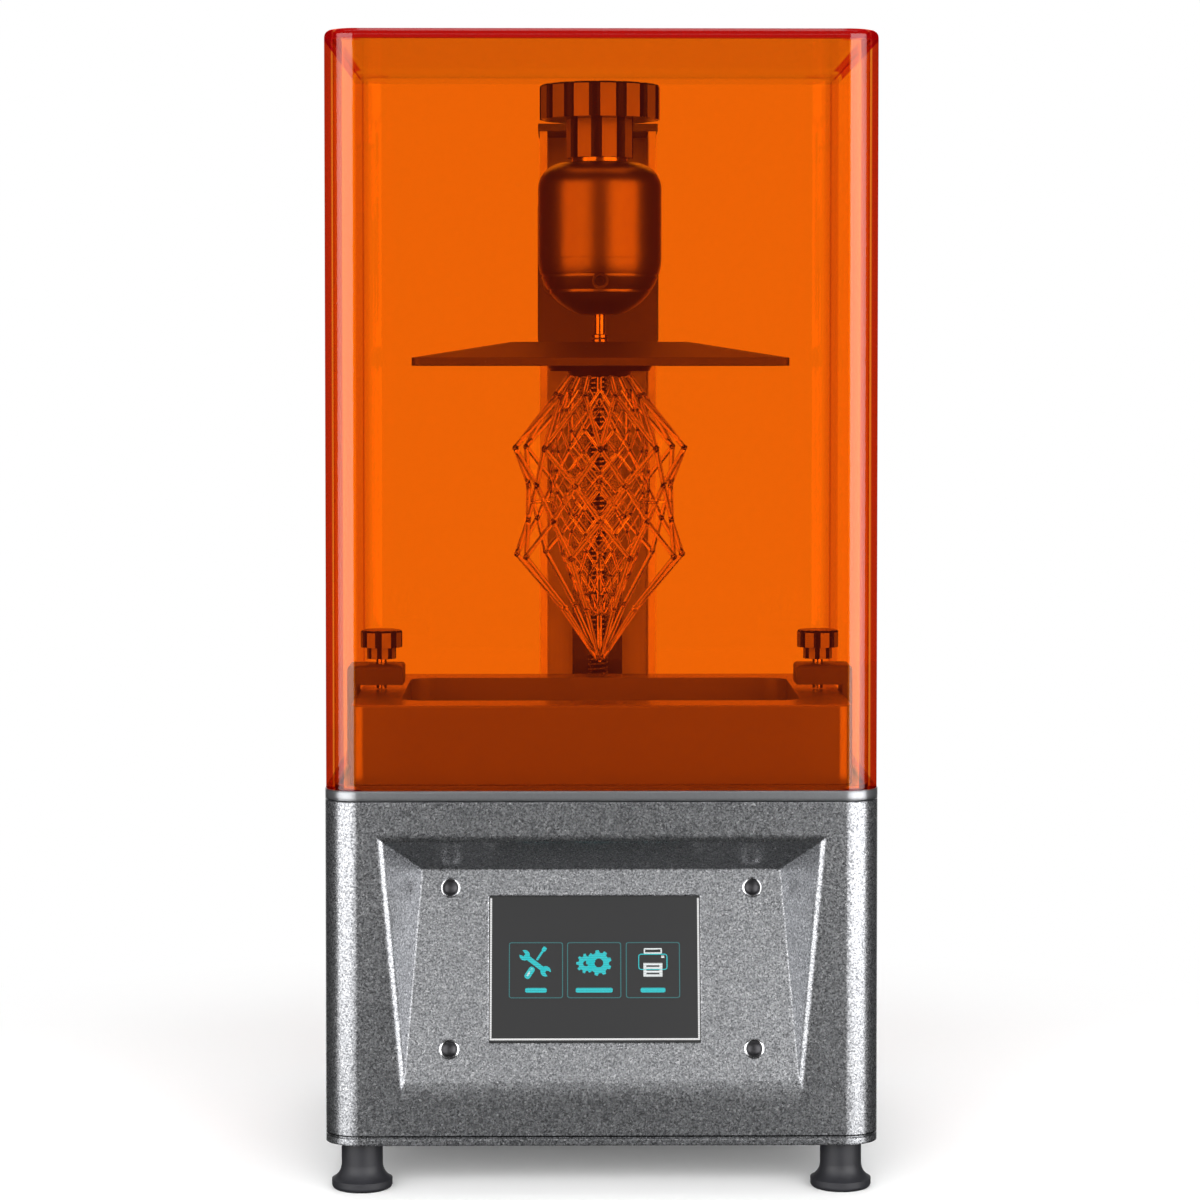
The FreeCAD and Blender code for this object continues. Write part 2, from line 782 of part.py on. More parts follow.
def frame_screw_places():
    """Centres of the film frame's screws, spread along its two long and two short sides."""
    x_reach = (cavity_w + film_edge) / 2
    y_reach = (cavity_d + film_edge) / 2
    places = []
    for i in range(frame_screw_n):
        x = -x_reach + cavity_r + (2 * x_reach - 2 * cavity_r) * i / (frame_screw_n - 1)
        places += [(x, vat_y - y_reach), (x, vat_y + y_reach)]
    for y in (-cavity_d / 4, 0, cavity_d / 4):
        places += [(-x_reach, vat_y + y), (x_reach, vat_y + y)]
    return places


def vat_film():
    """Release film, clamped round its edge and drawn down to the bottom of its frame."""
    low = deck_z + seat_gap
    top = low + film_dip + film_t
    edge = rounded_block(cavity_w + 2 * film_edge, cavity_d + 2 * film_edge, cavity_r,
                         top - film_t, top, 0, vat_y)
    tray = rounded_block(cavity_w, cavity_d, cavity_r, low, top, 0, vat_y)
    hollow = rounded_block(cavity_w - 2 * film_t, cavity_d - 2 * film_t, cavity_r - film_t,
                           low + film_t, top + through, 0, vat_y)
    film = join([edge, tray]).cut(hollow)
    for x, y in frame_screw_places():
        film = film.cut(post(frame_screw_r(), low, top + through, x, y))
    return film


def film_frame():
    """Thin steel frame that clamps the film from below."""
    low = deck_z + seat_gap
    outer = rounded_block(cavity_w + 2 * frame_edge, cavity_d + 2 * frame_edge, cavity_r,
                          low, low + film_dip, 0, vat_y)
    frame = outer.cut(rounded_block(cavity_w, cavity_d, cavity_r, low - through,
                                    low + film_dip + through, 0, vat_y))
    for x, y in frame_screw_places():
        frame = frame.cut(post(frame_screw_r(), low - through, low + film_dip + through, x, y))
    return frame


def film_frame_screws():
    """Small screws of the film frame, flush with its underside."""
    low = deck_z + seat_gap
    return [post(frame_screw_r(), low, low + 5 * film_dip, x, y)
            for x, y in frame_screw_places()]


# ================================================================ vat clamps
def clamp_screw_places():
    """Two screws under each clamp, in the middle of its leg."""
    x = clamp_out - clamp_leg_t / 2
    return [(sx * x, vat_y + sy * clamp_w / 4) for sx in (-1, 1) for sy in (-1, 1)]


def vat_clamp():
    """Left clamp: a leg beside the vat and an arm over the vat's rim, tapped for the screw."""
    y0 = vat_y - clamp_w / 2
    y1 = vat_y + clamp_w / 2
    leg = box(-clamp_out, -clamp_out + clamp_leg_t, y0, y1, deck_z, clamp_top)
    arm = box(-clamp_out, -clamp_out + clamp_reach, y0, y1, clamp_arm_z, clamp_top)
    clamp = join([leg, arm])
    top = [e for e in clamp.Edges if all(abs(v.Z - clamp_top) < 1e-6 for v in e.Vertexes)]
    clamp = clamp.makeFillet(clamp_edge_r, top)
    clamp = clamp.cut(post(vat_stud_r + bore_gap, clamp_arm_z - through,
                           clamp_top + through, -knob_x, vat_y))
    for x, y in clamp_screw_places():
        if x < 0:
            clamp = clamp.cut(post(screw_r * 0.8, deck_z - through, deck_z + clamp_screw_grip,
                                   x, y))
    return clamp


def clamp_screws():
    """Screws from below the deck into the clamps' legs."""
    length = deck_z + clamp_screw_grip - housing_top
    screw = cap_screw(screw_r * 0.8, length, clamp_leg_t / 2, screw_head_h)
    return [placed(screw, Vector(x, y, housing_top), X_AXIS, 180)
            for x, y in clamp_screw_places()]


def vat_stud():
    """Left clamp screw: it presses on the vat's rim."""
    top = clamp_top + vat_knob_rise + stud_grip
    return post(vat_stud_r, vat_rim_z + seat_gap, top, -knob_x, vat_y)


def vat_knob():
    """Left clamp knob: a fluted head on a narrow collar."""
    collar_z = clamp_top + vat_knob_rise
    head_z = collar_z + vat_collar_h
    collar = post(vat_collar_r, collar_z, head_z)
    head = post(vat_knob_r, head_z, head_z + vat_knob_h)
    flute = post(vat_flute_r, head_z - through, head_z + vat_knob_h + through,
                 vat_knob_r + vat_flute_r * 0.4)
    knob = join([collar, head]).cut(Part.makeCompound(ring_of(flute, vat_knob_flutes)))
    knob = knob.cut(post(vat_stud_r + bore_gap, collar_z - through, collar_z + stud_grip
                         + seat_gap))
    return placed(knob, Vector(-knob_x, vat_y, 0))


# ================================================================ column and Z drive
def column_screw_places():
    """Two screws through the column's foot."""
    y = column_web_y - column_base_d / 2
    return [(sx * column_screw_x, y) for sx in (-1, 1)]


def column():
    """U-shaped upright, open to the front, with a foot inside."""
    half = column_w / 2
    outer = box(-half, half, column_y0, column_y0 + column_d, deck_z, column_top)
    slot = box(-half + column_wall, half - column_wall, column_y0 - through, column_web_y,
               deck_z - through, column_top + through)
    foot = box(-half + column_wall, half - column_wall, column_web_y - column_base_d,
               column_web_y, deck_z, deck_z + column_base_t)
    shape = join([outer.cut(slot), foot])
    for x, y in column_screw_places():
        shape = shape.cut(post(screw_r, deck_z - through, switch_z + through, x, y))
    for z in rail_screw_levels():
        shape = shape.cut(rod(screw_r, Vector(0, column_web_y - through, z), Y_AXIS,
                              column_wall + 2 * through))
    return shape


def column_cap():
    """Lid of the column with a bearing boss for the lead screw's upper end."""
    half = column_w / 2 + cap_over
    lid = box(-half, half, column_y0 - cap_over, column_y0 + column_d + cap_over,
              column_top, column_top + cap_t)
    boss = post(boss_r, column_top - boss_h, column_top, 0, screw_y)
    cap = join([lid, boss])
    return cap.cut(post(lead_r + bore_gap, column_top - boss_h - through, column_top,
                        0, screw_y))


def rail_screw_levels():
    """Heights of the rail's screws."""
    low = deck_z + rail_low
    high = column_top - rail_high
    pitch = (high - low) / rail_screw_n
    return [low + pitch * (i + 0.5) for i in range(rail_screw_n)]


def guide_rail():
    """Linear guide rail with a running groove down each side and counterbored holes."""
    low = deck_z + rail_low
    high = column_top - rail_high
    half = rail_w / 2
    y0 = rail_y
    y1 = column_web_y
    third = rail_d / 3
    outline = [(-half, y0), (half, y0), (half, y0 + third),
               (half - rail_groove, y0 + 1.5 * third), (half, y0 + 2 * third), (half, y1),
               (-half, y1), (-half, y0 + 2 * third), (-half + rail_groove, y0 + 1.5 * third),
               (-half, y0 + third)]
    corners = [Vector(x, y, low) for x, y in outline]
    rail = Part.Face(Part.makePolygon(corners + [corners[0]])).extrude(Vector(0, 0, high - low))
    for z in rail_screw_levels():
        rail = rail.cut(rod(screw_r, Vector(0, y0 - through, z), Y_AXIS, rail_d + 2 * through))
        rail = rail.cut(rod(screw_head_r, Vector(0, y0 - through, z), Y_AXIS,
                            through + 2 * screw_head_h))
    return rail


def column_screws():
    """Rail screws in their counterbores and the two screws of the column's foot."""
    screws = []
    rail_screw = cap_screw(screw_r, rail_d - 2 * screw_head_h + column_wall, screw_head_r,
                           screw_head_h)
    for z in rail_screw_levels():
        screws.append(facing_front(rail_screw, Vector(0, rail_y + 2 * screw_head_h, z)))
    foot_screw = cap_screw(screw_r, switch_z - housing_top, screw_head_r, screw_head_h)
    for x, y in column_screw_places():
        screws.append(placed(foot_screw, Vector(x, y, switch_z)))
    return screws


def motor_hole_places():
    """Four mounting holes on the motor's face."""
    return [(sx * motor_hole / 2, screw_y + sy * motor_hole / 2)
            for sx in (-1, 1) for sy in (-1, 1)]


def z_motor_mount():
    """Plate on four pillars under the deck that carries the motor."""
    top = mount_z + motor_mount_t
    plate = rounded_block(motor_size, motor_size, motor_pillar_r, mount_z, top, 0, screw_y)
    pillars = [post(motor_pillar_r, top, housing_top, x, y) for x, y in motor_hole_places()]
    plate = join([plate] + pillars)
    plate = plate.cut(post(motor_pilot_r + bore_gap, mount_z - through, top + through,
                           0, screw_y))
    for x, y in motor_hole_places():
        plate = plate.cut(post(screw_r, mount_z - through, housing_top + through, x, y))
    return plate


def z_motor():
    """Stepper motor: square body with cut corners, end caps and a round pilot."""
    low = mount_z - motor_h
    half = motor_size / 2
    body = box(-half, half, screw_y - half, screw_y + half, low, mount_z)
    upright = [e for e in body.Edges if abs(e.Length - motor_h) < 1e-6
               and abs(e.Vertexes[0].X - e.Vertexes[1].X) < 1e-6
               and abs(e.Vertexes[0].Y - e.Vertexes[1].Y) < 1e-6]
    body = body.makeChamfer(motor_size * 0.1, upright)
    stack = box(-half - through, half + through, screw_y - half - through,
                screw_y + half + through, low + motor_h * 0.28, low + motor_h * 0.72)
    core = centred(motor_size - 1.2, motor_size - 1.2, low, mount_z, 0, screw_y)
    body = body.cut(stack.cut(core))
    body = join([body, post(motor_pilot_r, mount_z, mount_z + motor_pilot_h, 0, screw_y)])
    for x, y in motor_hole_places():
        body = body.cut(post(screw_r, mount_z - motor_screw_grip - seat_gap,
                             mount_z + through, x, y))
    return body.cut(post(motor_shaft_r + bore_gap, low + 2.0,
                         mount_z + motor_pilot_h + through, 0, screw_y))


def motor_screws():
    """Flush screws through deck and mount into the motor's face."""
    screw = countersunk_screw(screw_r, deck_z - mount_z + motor_screw_grip, screw_head_r,
                              screw_head_h)
    return [placed(screw, Vector(x, y, deck_z)) for x, y in motor_hole_places()]


def motor_shaft():
    """Shaft of the motor, up into the coupler."""
    low = mount_z - motor_h + 2.0 + seat_gap
    return post(motor_shaft_r, low, coupler_middle, 0, screw_y)


def shaft_coupler():
    """Clamp coupler between the motor shaft and the lead screw."""
    low = coupler_z
    top = coupler_z + coupler_h
    coupler = post(coupler_r, low, top, 0, screw_y)
    coupler = coupler.cut(post(motor_shaft_r, low - through, coupler_middle, 0, screw_y))
    coupler = coupler.cut(post(lead_r, coupler_middle, top + through, 0, screw_y))
    slit = box(0, coupler_r + through, screw_y - 0.4, screw_y + 0.4, low - through,
               low + coupler_h * 0.4)
    return coupler.cut(slit)


def lead_screw():
    """Trapezoidal screw, held by its crest diameter."""
    return post(lead_r, coupler_middle, column_top - seat_gap, 0, screw_y)


def z_home_switch():
    """Small switch on the column's foot that the carriage presses at the bottom."""
    half = switch_w / 2
    body = box(-half, half, column_web_y - column_base_d, column_web_y, switch_z,
               switch_z + switch_h)
    top = block_z0 - build_travel - seat_gap
    button = post(switch_button_r, switch_z + switch_h, top, 0,
                  rail_y - block_crown / 3)
    return join([body, button])


# ================================================================ carriage and head
def carriage_plate():
    """Plate in front of the column with a carrier that reaches the guide block."""
    front = carriage_front
    back = carriage_back
    half = carriage_w / 2
    plate = box(-half, half, front, back, carriage_z0, carriage_z1)
    upright = [e for e in plate.Edges if abs(e.Length - carriage_t) < 1e-6]
    plate = plate.makeFillet(3.0, upright)
    carrier = box(-carrier_w / 2, carrier_w / 2, back, block_y, carrier_z0,
                  carrier_z0 + carrier_h)
    plate = join([plate, carrier])
    plate = plate.cut(post(nut_r, carrier_z0 - through, carrier_z0 + carrier_h + through,
                           0, screw_y))
    for x, z in arm_screw_places():
        plate = plate.cut(rod(screw_r, Vector(x, front - through, z), Y_AXIS,
                              carriage_t + through))
    return plate


def arm_screw_places():
    """Four screws of the arm's flange."""
    low = arm_flange_z0 + arm_screw_inset
    high = arm_flange_z0 + arm_flange_h - arm_screw_inset
    return [(sx * arm_screw_x, z) for sx in (-1, 1) for z in (low, high)]


def guide_block():
    """Ball-bearing runner that straddles the rail."""
    y0 = block_y
    half = block_w / 2
    outer = box(-half, half, y0, rail_y + block_leg, block_z0, block_z0 + block_h)
    slot = box(-rail_w / 2 - seat_gap, rail_w / 2 + seat_gap, rail_y - seat_gap,
               rail_y + block_leg + through, block_z0 - through, block_z0 + block_h + through)
    block = outer.cut(slot)
    cap = block_h * 0.12
    for z in (block_z0 + cap, block_z0 + block_h - cap):
        for sx in (-1, 1):
            x0, x1 = sorted((sx * (half - 0.6), sx * (half + through)))
            block = block.cut(box(x0, x1, y0 - through, rail_y + block_leg + through,
                                  z - 0.4, z + 0.4))
    return block


def lead_nut():
    """Flanged brass nut under the carrier."""
    barrel = post(nut_r, carrier_z0, carrier_z0 + carrier_h * 0.5, 0, screw_y)
    flange = post(nut_flange_r, carrier_z0 - nut_flange_h, carrier_z0, 0, screw_y)
    nut = join([barrel, flange])
    return nut.cut(post(lead_r + bore_gap, carrier_z0 - nut_flange_h - through,
                        carrier_z0 + carrier_h, 0, screw_y))


def barrel_bottom_r():
    """Radius of the arc that rounds the barrel's bottom."""
    drop = barrel_side_z - barrel_z0
    inset = barrel_r - barrel_foot_r
    return (inset ** 2 + drop ** 2) / (2 * inset)


def barrel_profile():
    """Outer side of the head as edges from its bottom flat up to its top flat."""
    r = barrel_bottom_r()
    centre = barrel_r - r
    drop = math.asin((barrel_side_z - barrel_z0) / r)
    half = (centre + r * math.cos(drop / 2), barrel_side_z - r * math.sin(drop / 2))
    s = barrel_shoulder
    turn = (barrel_r - s + s * math.sin(math.pi / 4),
            barrel_z1 - s + s * math.cos(math.pi / 4))
    return [
        line((0, barrel_z0), (barrel_foot_r, barrel_z0)),
        bend((barrel_foot_r, barrel_z0), half, (barrel_r, barrel_side_z)),
        line((barrel_r, barrel_side_z), (barrel_r, barrel_z1 - s)),
        bend((barrel_r, barrel_z1 - s), turn, (barrel_r - s, barrel_z1)),
        line((barrel_r - s, barrel_z1), (0, barrel_z1)),
        line((0, barrel_z1), (0, barrel_z0)),
    ]


def barrel_radius_at(z):
    """Outer radius of the head's round bottom at a height."""
    r = barrel_bottom_r()
    return barrel_r - r + math.sqrt(max(r ** 2 - (barrel_side_z - z) ** 2, 0.0))


def head_core():
    """The head as one solid, before it is split at its seam."""
    return spin_edges(barrel_profile(), head_x, head_y)


def head_casting():
    """Upper barrel, the beam behind it and the flange on the carriage plate."""
    core = head_core()
    upper = core.cut(centred(4 * barrel_r, 4 * barrel_r, barrel_z0 - through, seam_z,
                             head_x, head_y))
    face = carriage_front
    beam = box(-arm_w / 2, arm_w / 2, head_y, face, arm_z0, arm_z0 + arm_h)
    flange = box(-arm_flange_w / 2, arm_flange_w / 2, face - arm_flange_t, face,
                 arm_flange_z0, arm_flange_z0 + arm_flange_h)
    corners = [e for e in flange.Edges if abs(e.Length - arm_flange_t) < 1e-6]
    flange = flange.makeFillet(4.0, corners)
    rib_face = [Vector(0, head_y, arm_z0), Vector(0, face, arm_z0),
                Vector(0, face, arm_flange_z0)]
    rib = Part.Face(Part.makePolygon(rib_face + [rib_face[0]]))
    rib = rib.extrude(Vector(arm_flange_t, 0, 0))
    rib.translate(Vector(-arm_flange_t / 2, 0, 0))
    rib = rib.cut(box(-arm_w, arm_w, head_y - through, face - arm_flange_t,
                      barrel_z0, seam_z + through))
    casting = join([upper, beam, flange, rib])
    casting = casting.cut(Part.makeSphere(ball_r + bore_gap + liner_t + bore_gap,
                                          Vector(head_x, head_y, ball_z)))
    casting = casting.cut(post(knob_stud_r + bore_gap, barrel_z1 - knob_stud_deep,
                               barrel_z1 + through, head_x, head_y))
    for x, z in arm_screw_places():
        casting = casting.cut(rod(screw_r, Vector(x, face - arm_flange_t - through, z),
                                  Y_AXIS, arm_flange_t + 2 * through))
    return casting


def arm_screws():
    """Screws of the arm's flange."""
    face = carriage_front
    screw = cap_screw(screw_r, arm_flange_t + carriage_t - 2.0, arm_head_r, arm_head_h)
    return [facing_front(screw, Vector(x, face - arm_flange_t, z))
            for x, z in arm_screw_places()]


def socket_cup():
    """Round bottom of the head: a split cup that holds the ball, with its band grooves."""
    core = head_core()
    cup = core.common(centred(4 * barrel_r, 4 * barrel_r, barrel_z0 - through, seam_z,
                              head_x, head_y))
    for up in band_up:
        z = barrel_z0 + up
        r = barrel_radius_at(z)
        groove = spin([(r - band_groove, z - band_groove), (r + through, z - band_groove),
                       (r + through, z + band_groove), (r - band_groove, z + band_groove)],
                      head_x, head_y)
        cup = cup.cut(groove)
    seat_r = ball_r + 2 * bore_gap + liner_t
    cup = cup.cut(Part.makeSphere(seat_r, Vector(head_x, head_y, ball_z)))
    cup = cup.cut(post(seat_r, ball_z, seam_z + through, head_x, head_y))
    cup = cup.cut(post(cup_bore_r, barrel_z0 - through, ball_z, head_x, head_y))
    lock_z = barrel_z0 + lock_up
    cup = cup.cut(rod(lock_r, Vector(head_x, head_y - barrel_r - through, lock_z), Y_AXIS,
                      barrel_r))
    face = barrel_radius_at(lock_z)
    cup = cup.cut(rod(lock_bore_r, Vector(head_x, head_y - barrel_r - through, lock_z),
                      Y_AXIS, barrel_r + through - face + lock_sink))
    return cup


def ball_lock_screw():
    """Set screw in the front of the cup that presses on the ball's liner."""
    lock_z = barrel_z0 + lock_up
    seat = ball_r + 2 * bore_gap + liner_t
    face = barrel_radius_at(lock_z) - lock_sink
    start = Vector(head_x, head_y - face - 1.0, lock_z)
    screw = rod(lock_r, start, Y_AXIS, face + 1.0 - seat)
    return screw.cut(rod(lock_r * 0.55, start - Vector(0, through, 0), Y_AXIS,
                         through + lock_r))


def ball_liner():
    """Slotted sleeve between the ball and its cup."""
    centre = Vector(head_x, head_y, ball_z)
    liner = Part.makeSphere(ball_r + bore_gap + liner_t, centre)
    liner = liner.cut(Part.makeSphere(ball_r + bore_gap, centre))
    return liner.common(centred(4 * ball_r, 4 * ball_r, ball_z - liner_half_h,
                                ball_z + liner_half_h, head_x, head_y))


def ball_stud():
    """Ball, stem and stepped foot that carries the build plate."""
    ball = Part.makeSphere(ball_r, Vector(head_x, head_y, ball_z))
    stem = post(stem_r, plate_top_z, ball_z, head_x, head_y)
    foot = post(stem_foot_r, plate_top_z, plate_top_z + stem_foot_h, head_x, head_y)
    ring = post((stem_r + stem_foot_r) / 2, plate_top_z + stem_foot_h,
                plate_top_z + 2 * stem_foot_h, head_x, head_y)
    return join([ball, stem, foot, ring])


def head_stud():
    """Threaded stud of the top knob with its collar."""
    top = barrel_z1 + knob_collar_h + knob_stud_grip
    stud = post(knob_stud_r, barrel_z1 - knob_stud_deep + seat_gap, top, head_x, head_y)
    collar = post(knob_collar_r, barrel_z1 + seat_gap, barrel_z1 + knob_collar_h,
                  head_x, head_y)
    return join([stud, collar])


def prism(r, sides, z0, z1):
    """Upright prism with a flat side to the front, measured over its corners."""
    turn = math.pi / sides - math.pi / 2
    corners = [Vector(r * math.cos(turn + 2 * math.pi * i / sides),
                      r * math.sin(turn + 2 * math.pi * i / sides), z0)
               for i in range(sides)]
    return Part.Face(Part.makePolygon(corners + [corners[0]])).extrude(Vector(0, 0, z1 - z0))


def head_knob():
    """Large top knob: a faceted rim with a low crown above a faceted neck."""
    neck_z = barrel_z1 + knob_collar_h + bore_gap
    rim_z = neck_z + knob_neck_h
    top = rim_z + knob_wide_h
    edge_z = top - knob_crown_h
    neck = prism(knob_neck_r, knob_neck_sides, neck_z, rim_z)
    rim = prism(knob_wide_r, knob_rim_sides, rim_z, top)
    crown = spin([(0, rim_z), (knob_wide_r - knob_edge_h, rim_z),
                  (knob_wide_r + through, rim_z + knob_edge_h + through),
                  (knob_wide_r + through, edge_z - knob_crown_h * through / knob_crown_inset),
                  (knob_wide_r - knob_crown_inset, top), (0, top)])
    knob = join([neck, rim.common(crown)])
    knob = knob.cut(post(knob_stud_r + bore_gap, neck_z - through,
                         barrel_z1 + knob_collar_h + knob_stud_grip + seat_gap))
    return placed(knob, Vector(head_x, head_y, 0))


# ================================================================ build plate and print
def build_plate():
    """Flat plate with a low pyramid on top."""
    rim_top = plate_z + plate_rim_h
    rim = rounded_block(plate_w, plate_d, plate_corner_r, plate_z, rim_top, head_x, head_y)
    low = rounded_wire(plate_w, plate_d, plate_corner_r, rim_top, head_x, head_y)
    high = rounded_wire(plate_top_w, plate_top_d, plate_corner_r, plate_top_z, head_x, head_y)
    slope = Part.makeLoft([low, high], True, True)
    return join([rim, slope])


def window_cutter(above, middle, below):
    """Pyramid from the axis out through one diamond between three rings of the lantern."""
    half = math.pi / print_windows
    corners = [Vector(above[0], 0, -above[1]),
               Vector(middle[0] * math.cos(half), middle[0] * math.sin(half), -middle[1]),
               Vector(below[0], 0, -below[1]),
               Vector(middle[0] * math.cos(half), -middle[0] * math.sin(half), -middle[1])]
    centre = (corners[0] + corners[1] + corners[2] + corners[3]) * 0.25
    corners = [centre + (c - centre) * window_share for c in corners]
    apex = Vector(0, 0, -middle[1])
    top, right, low, left = [apex + (c - apex) * 1.5 for c in corners]
    outlines = [(apex, top, right), (apex, right, low), (apex, low, left), (apex, left, top),
                (top, left, right), (low, right, left)]
    faces = [Part.Face(Part.makePolygon(list(o) + [o[0]])) for o in outlines]
    return Part.Solid(Part.makeShell(faces))


def lantern_windows():
    """Rows of diamonds, each row half a window round from the one above."""
    cutters = []
    for i in range(1, len(print_rings) - 1):
        cutter = window_cutter(print_rings[i - 1], print_rings[i], print_rings[i + 1])
        cutter.rotate(Vector(0, 0, 0), Z_AXIS, 180.0 / print_windows * (i % 2))
        cutter.translate(Vector(0, 0, plate_z))
        cutters += ring_of(cutter, print_windows)
    cutters = Part.makeCompound(cutters)
    cutters.translate(Vector(head_x, head_y, 0))
    return cutters


def sample_print():
    """Finished lantern hanging from its raft: a thin skin with rows of diamond windows."""
    raft = post(raft_r, plate_z - raft_h, plate_z, head_x, head_y)
    step = post(raft_step_r, plate_z - raft_h - raft_step_h, plate_z - raft_h,
                head_x, head_y)
    outside = [(r, plate_z - drop) for r, drop in print_rings]
    inside = [(max(r - print_wall, 0.0), z + (0.0 if r > print_wall else 4 * print_wall))
              for r, z in outside]
    skin = spin([(0, outside[0][1])] + outside + [(0, outside[-1][1])], head_x, head_y)
    hollow = spin([(0, inside[0][1] - print_wall)]
                  + [(inside[0][0], inside[0][1] - print_wall)] + inside[1:],
                  head_x, head_y)
    skin = skin.cut(hollow).cut(lantern_windows())
    return join([raft, step, skin])


# ================================================================ lamp
def fan_frame(size, thickness):
    """Square fan housing about the Z axis, its open side at the top, spider at the bottom."""
    bore = size / 2 - fan_wall
    frame = rounded_block(size, size, fan_hole_inset, 0, thickness)
    frame = frame.cut(post(bore, -through, thickness + through))
    hub = post(fan_hub_r, 0, fan_spider_t)
    arm = box(0, bore + fan_wall / 2, -1.5, 1.5, 0, fan_spider_t)
    frame = join([frame, hub] + ring_of(arm, 3))
    hole = size / 2 - fan_hole_inset
    for sx in (-1, 1):
        for sy in (-1, 1):
            frame = frame.cut(post(screw_r, -through, thickness + through,
                                   sx * hole, sy * hole))
    return frame.cut(post(fan_pin_r + bore_gap, -through, thickness))


def fan_rotor(size, thickness):
    """Fan wheel about the Z axis: hub, pin and pitched blades."""
    tip = size / 2 - fan_wall - fan_tip_gap
    low = fan_spider_t + fan_axial_gap
    high = thickness - fan_axial_gap
    middle = (low + high) / 2
    blade = Part.makeBox(tip + through, (high - low) * 1.6, fan_blade_t,
                         Vector(0, -(high - low) * 0.8, -fan_blade_t / 2))
    blade.rotate(Vector(0, 0, 0), X_AXIS, fan_blade_pitch)
    blade.translate(Vector(0, 0, middle))
    band = post(tip, low, high).cut(post(fan_hub_r - through, low, high))
    blades = [b.common(band) for b in ring_of(blade, fan_blades)]
    hub = post(fan_hub_r, low, high)
    pin = post(fan_pin_r, 0, low)
    return join([hub, pin] + blades)


def lamp_fan_place(shape):
    """Put a fan part under the lamp's heatsink."""
    return placed(shape, Vector(0, vat_y, floor_z))


def lamp_heatsink():
    """Finned block between the fan and the lamp board."""
    base_z = sink_z + sink_fin_h
    base = centred(sink_w, sink_d, base_z, base_z + sink_base_t, 0, vat_y)
    pitch = (sink_w - sink_fin_t) / (sink_fins - 1)
    fins = [centred(sink_fin_t, sink_d, sink_z, base_z,
                    -sink_w / 2 + sink_fin_t / 2 + pitch * i, vat_y)
            for i in range(sink_fins)]
    return join([base] + fins)


def lamp_board():
    """Aluminium board with its array of emitters."""
    top = lamp_board_z + board_t
    board = centred(lamp_board_w, lamp_board_d, lamp_board_z, top, 0, vat_y)
    leds = []
    for i in range(led_columns):
        for j in range(led_rows):
            x = (i - (led_columns - 1) / 2) * led_pitch
            y = vat_y + (j - (led_rows - 1) / 2) * led_pitch
            leds.append(centred(led_size, led_size, top, top + led_h, x, y))
    return join([board] + leds)


def lamp_hood():
    """Flared reflector from the lamp board up to the deck."""
    def rectangle(w, d, z):
        return rounded_wire(w, d, 3 * hood_t, z, 0, vat_y)
    outer = Part.makeLoft([rectangle(hood_low_w, hood_low_d, hood_z),
                           rectangle(hood_high_w, hood_high_d, housing_top)], True, True)
    grow = 2 * hood_t
    inner = Part.makeLoft([rectangle(hood_low_w - grow, hood_low_d - grow, hood_z),
                           rectangle(hood_high_w - grow, hood_high_d - grow, housing_top)],
                          True, True)
    return outer.cut(inner)


# ================================================================ electronics and rear
def standoff_places():
    """Corners of the main board's posts."""
    return [(sx * (board_w / 2 - standoff_inset), board_y + sy * (board_d / 2 - standoff_inset))
            for sx in (-1, 1) for sy in (-1, 1)]


def main_board():
    """Controller board with its larger parts."""
    low = floor_z + standoff_h
    top = low + board_t
    board = centred(board_w, board_d, low, top, 0, board_y)
    chip = centred(chip_size, chip_size, top, top + chip_h, board_w * 0.08, board_y)
    driver = centred(driver_size, driver_size, top, top + driver_h, -board_w * 0.21,
                     board_y + board_d * 0.14)
    can = post(can_r, top, top + can_h, -board_w * 0.35, board_y - board_d * 0.18)
    header = centred(header_w, header_d, top, top + header_d, board_w * 0.28,
                     board_y + board_d * 0.32)
    board = join([board, chip, driver, can, header])
    for x, y in standoff_places():
        board = board.cut(post(screw_r, low - through, top + through, x, y))
    return board


def board_standoffs():
    """Posts between the bottom plate and the main board, each with its screw head on top."""
    low = floor_z
    top = floor_z + standoff_h
    posts = []
    for x, y in standoff_places():
        stand = join([post(standoff_r, low, top, x, y), post(screw_r, top, top + board_t, x, y),
                      post(screw_head_r, top + board_t, top + board_t + screw_head_h, x, y)])
        posts.append(stand)
    return posts


def rear_cutouts():
    """Holes of the rear panel: fan grille, inlet, port and switch, in the panel's plane."""
    cuts = []
    bore = rear_fan_size / 2 - fan_wall
    pitch = (bore - fan_hub_r * 0.6) / grille_rings
    spokes = join([centred(2 * bore, grille_bar, -through, rear_t + through),
                   centred(grille_bar, 2 * bore, -through, rear_t + through)])
    for i in range(grille_rings):
        outer = bore - i * pitch
        ring = post(outer, -through, rear_t + through)
        ring = ring.cut(post(outer - pitch + grille_bar, -2 * through, rear_t + 2 * through))
        cuts.append(ring.cut(spokes))
    return cuts


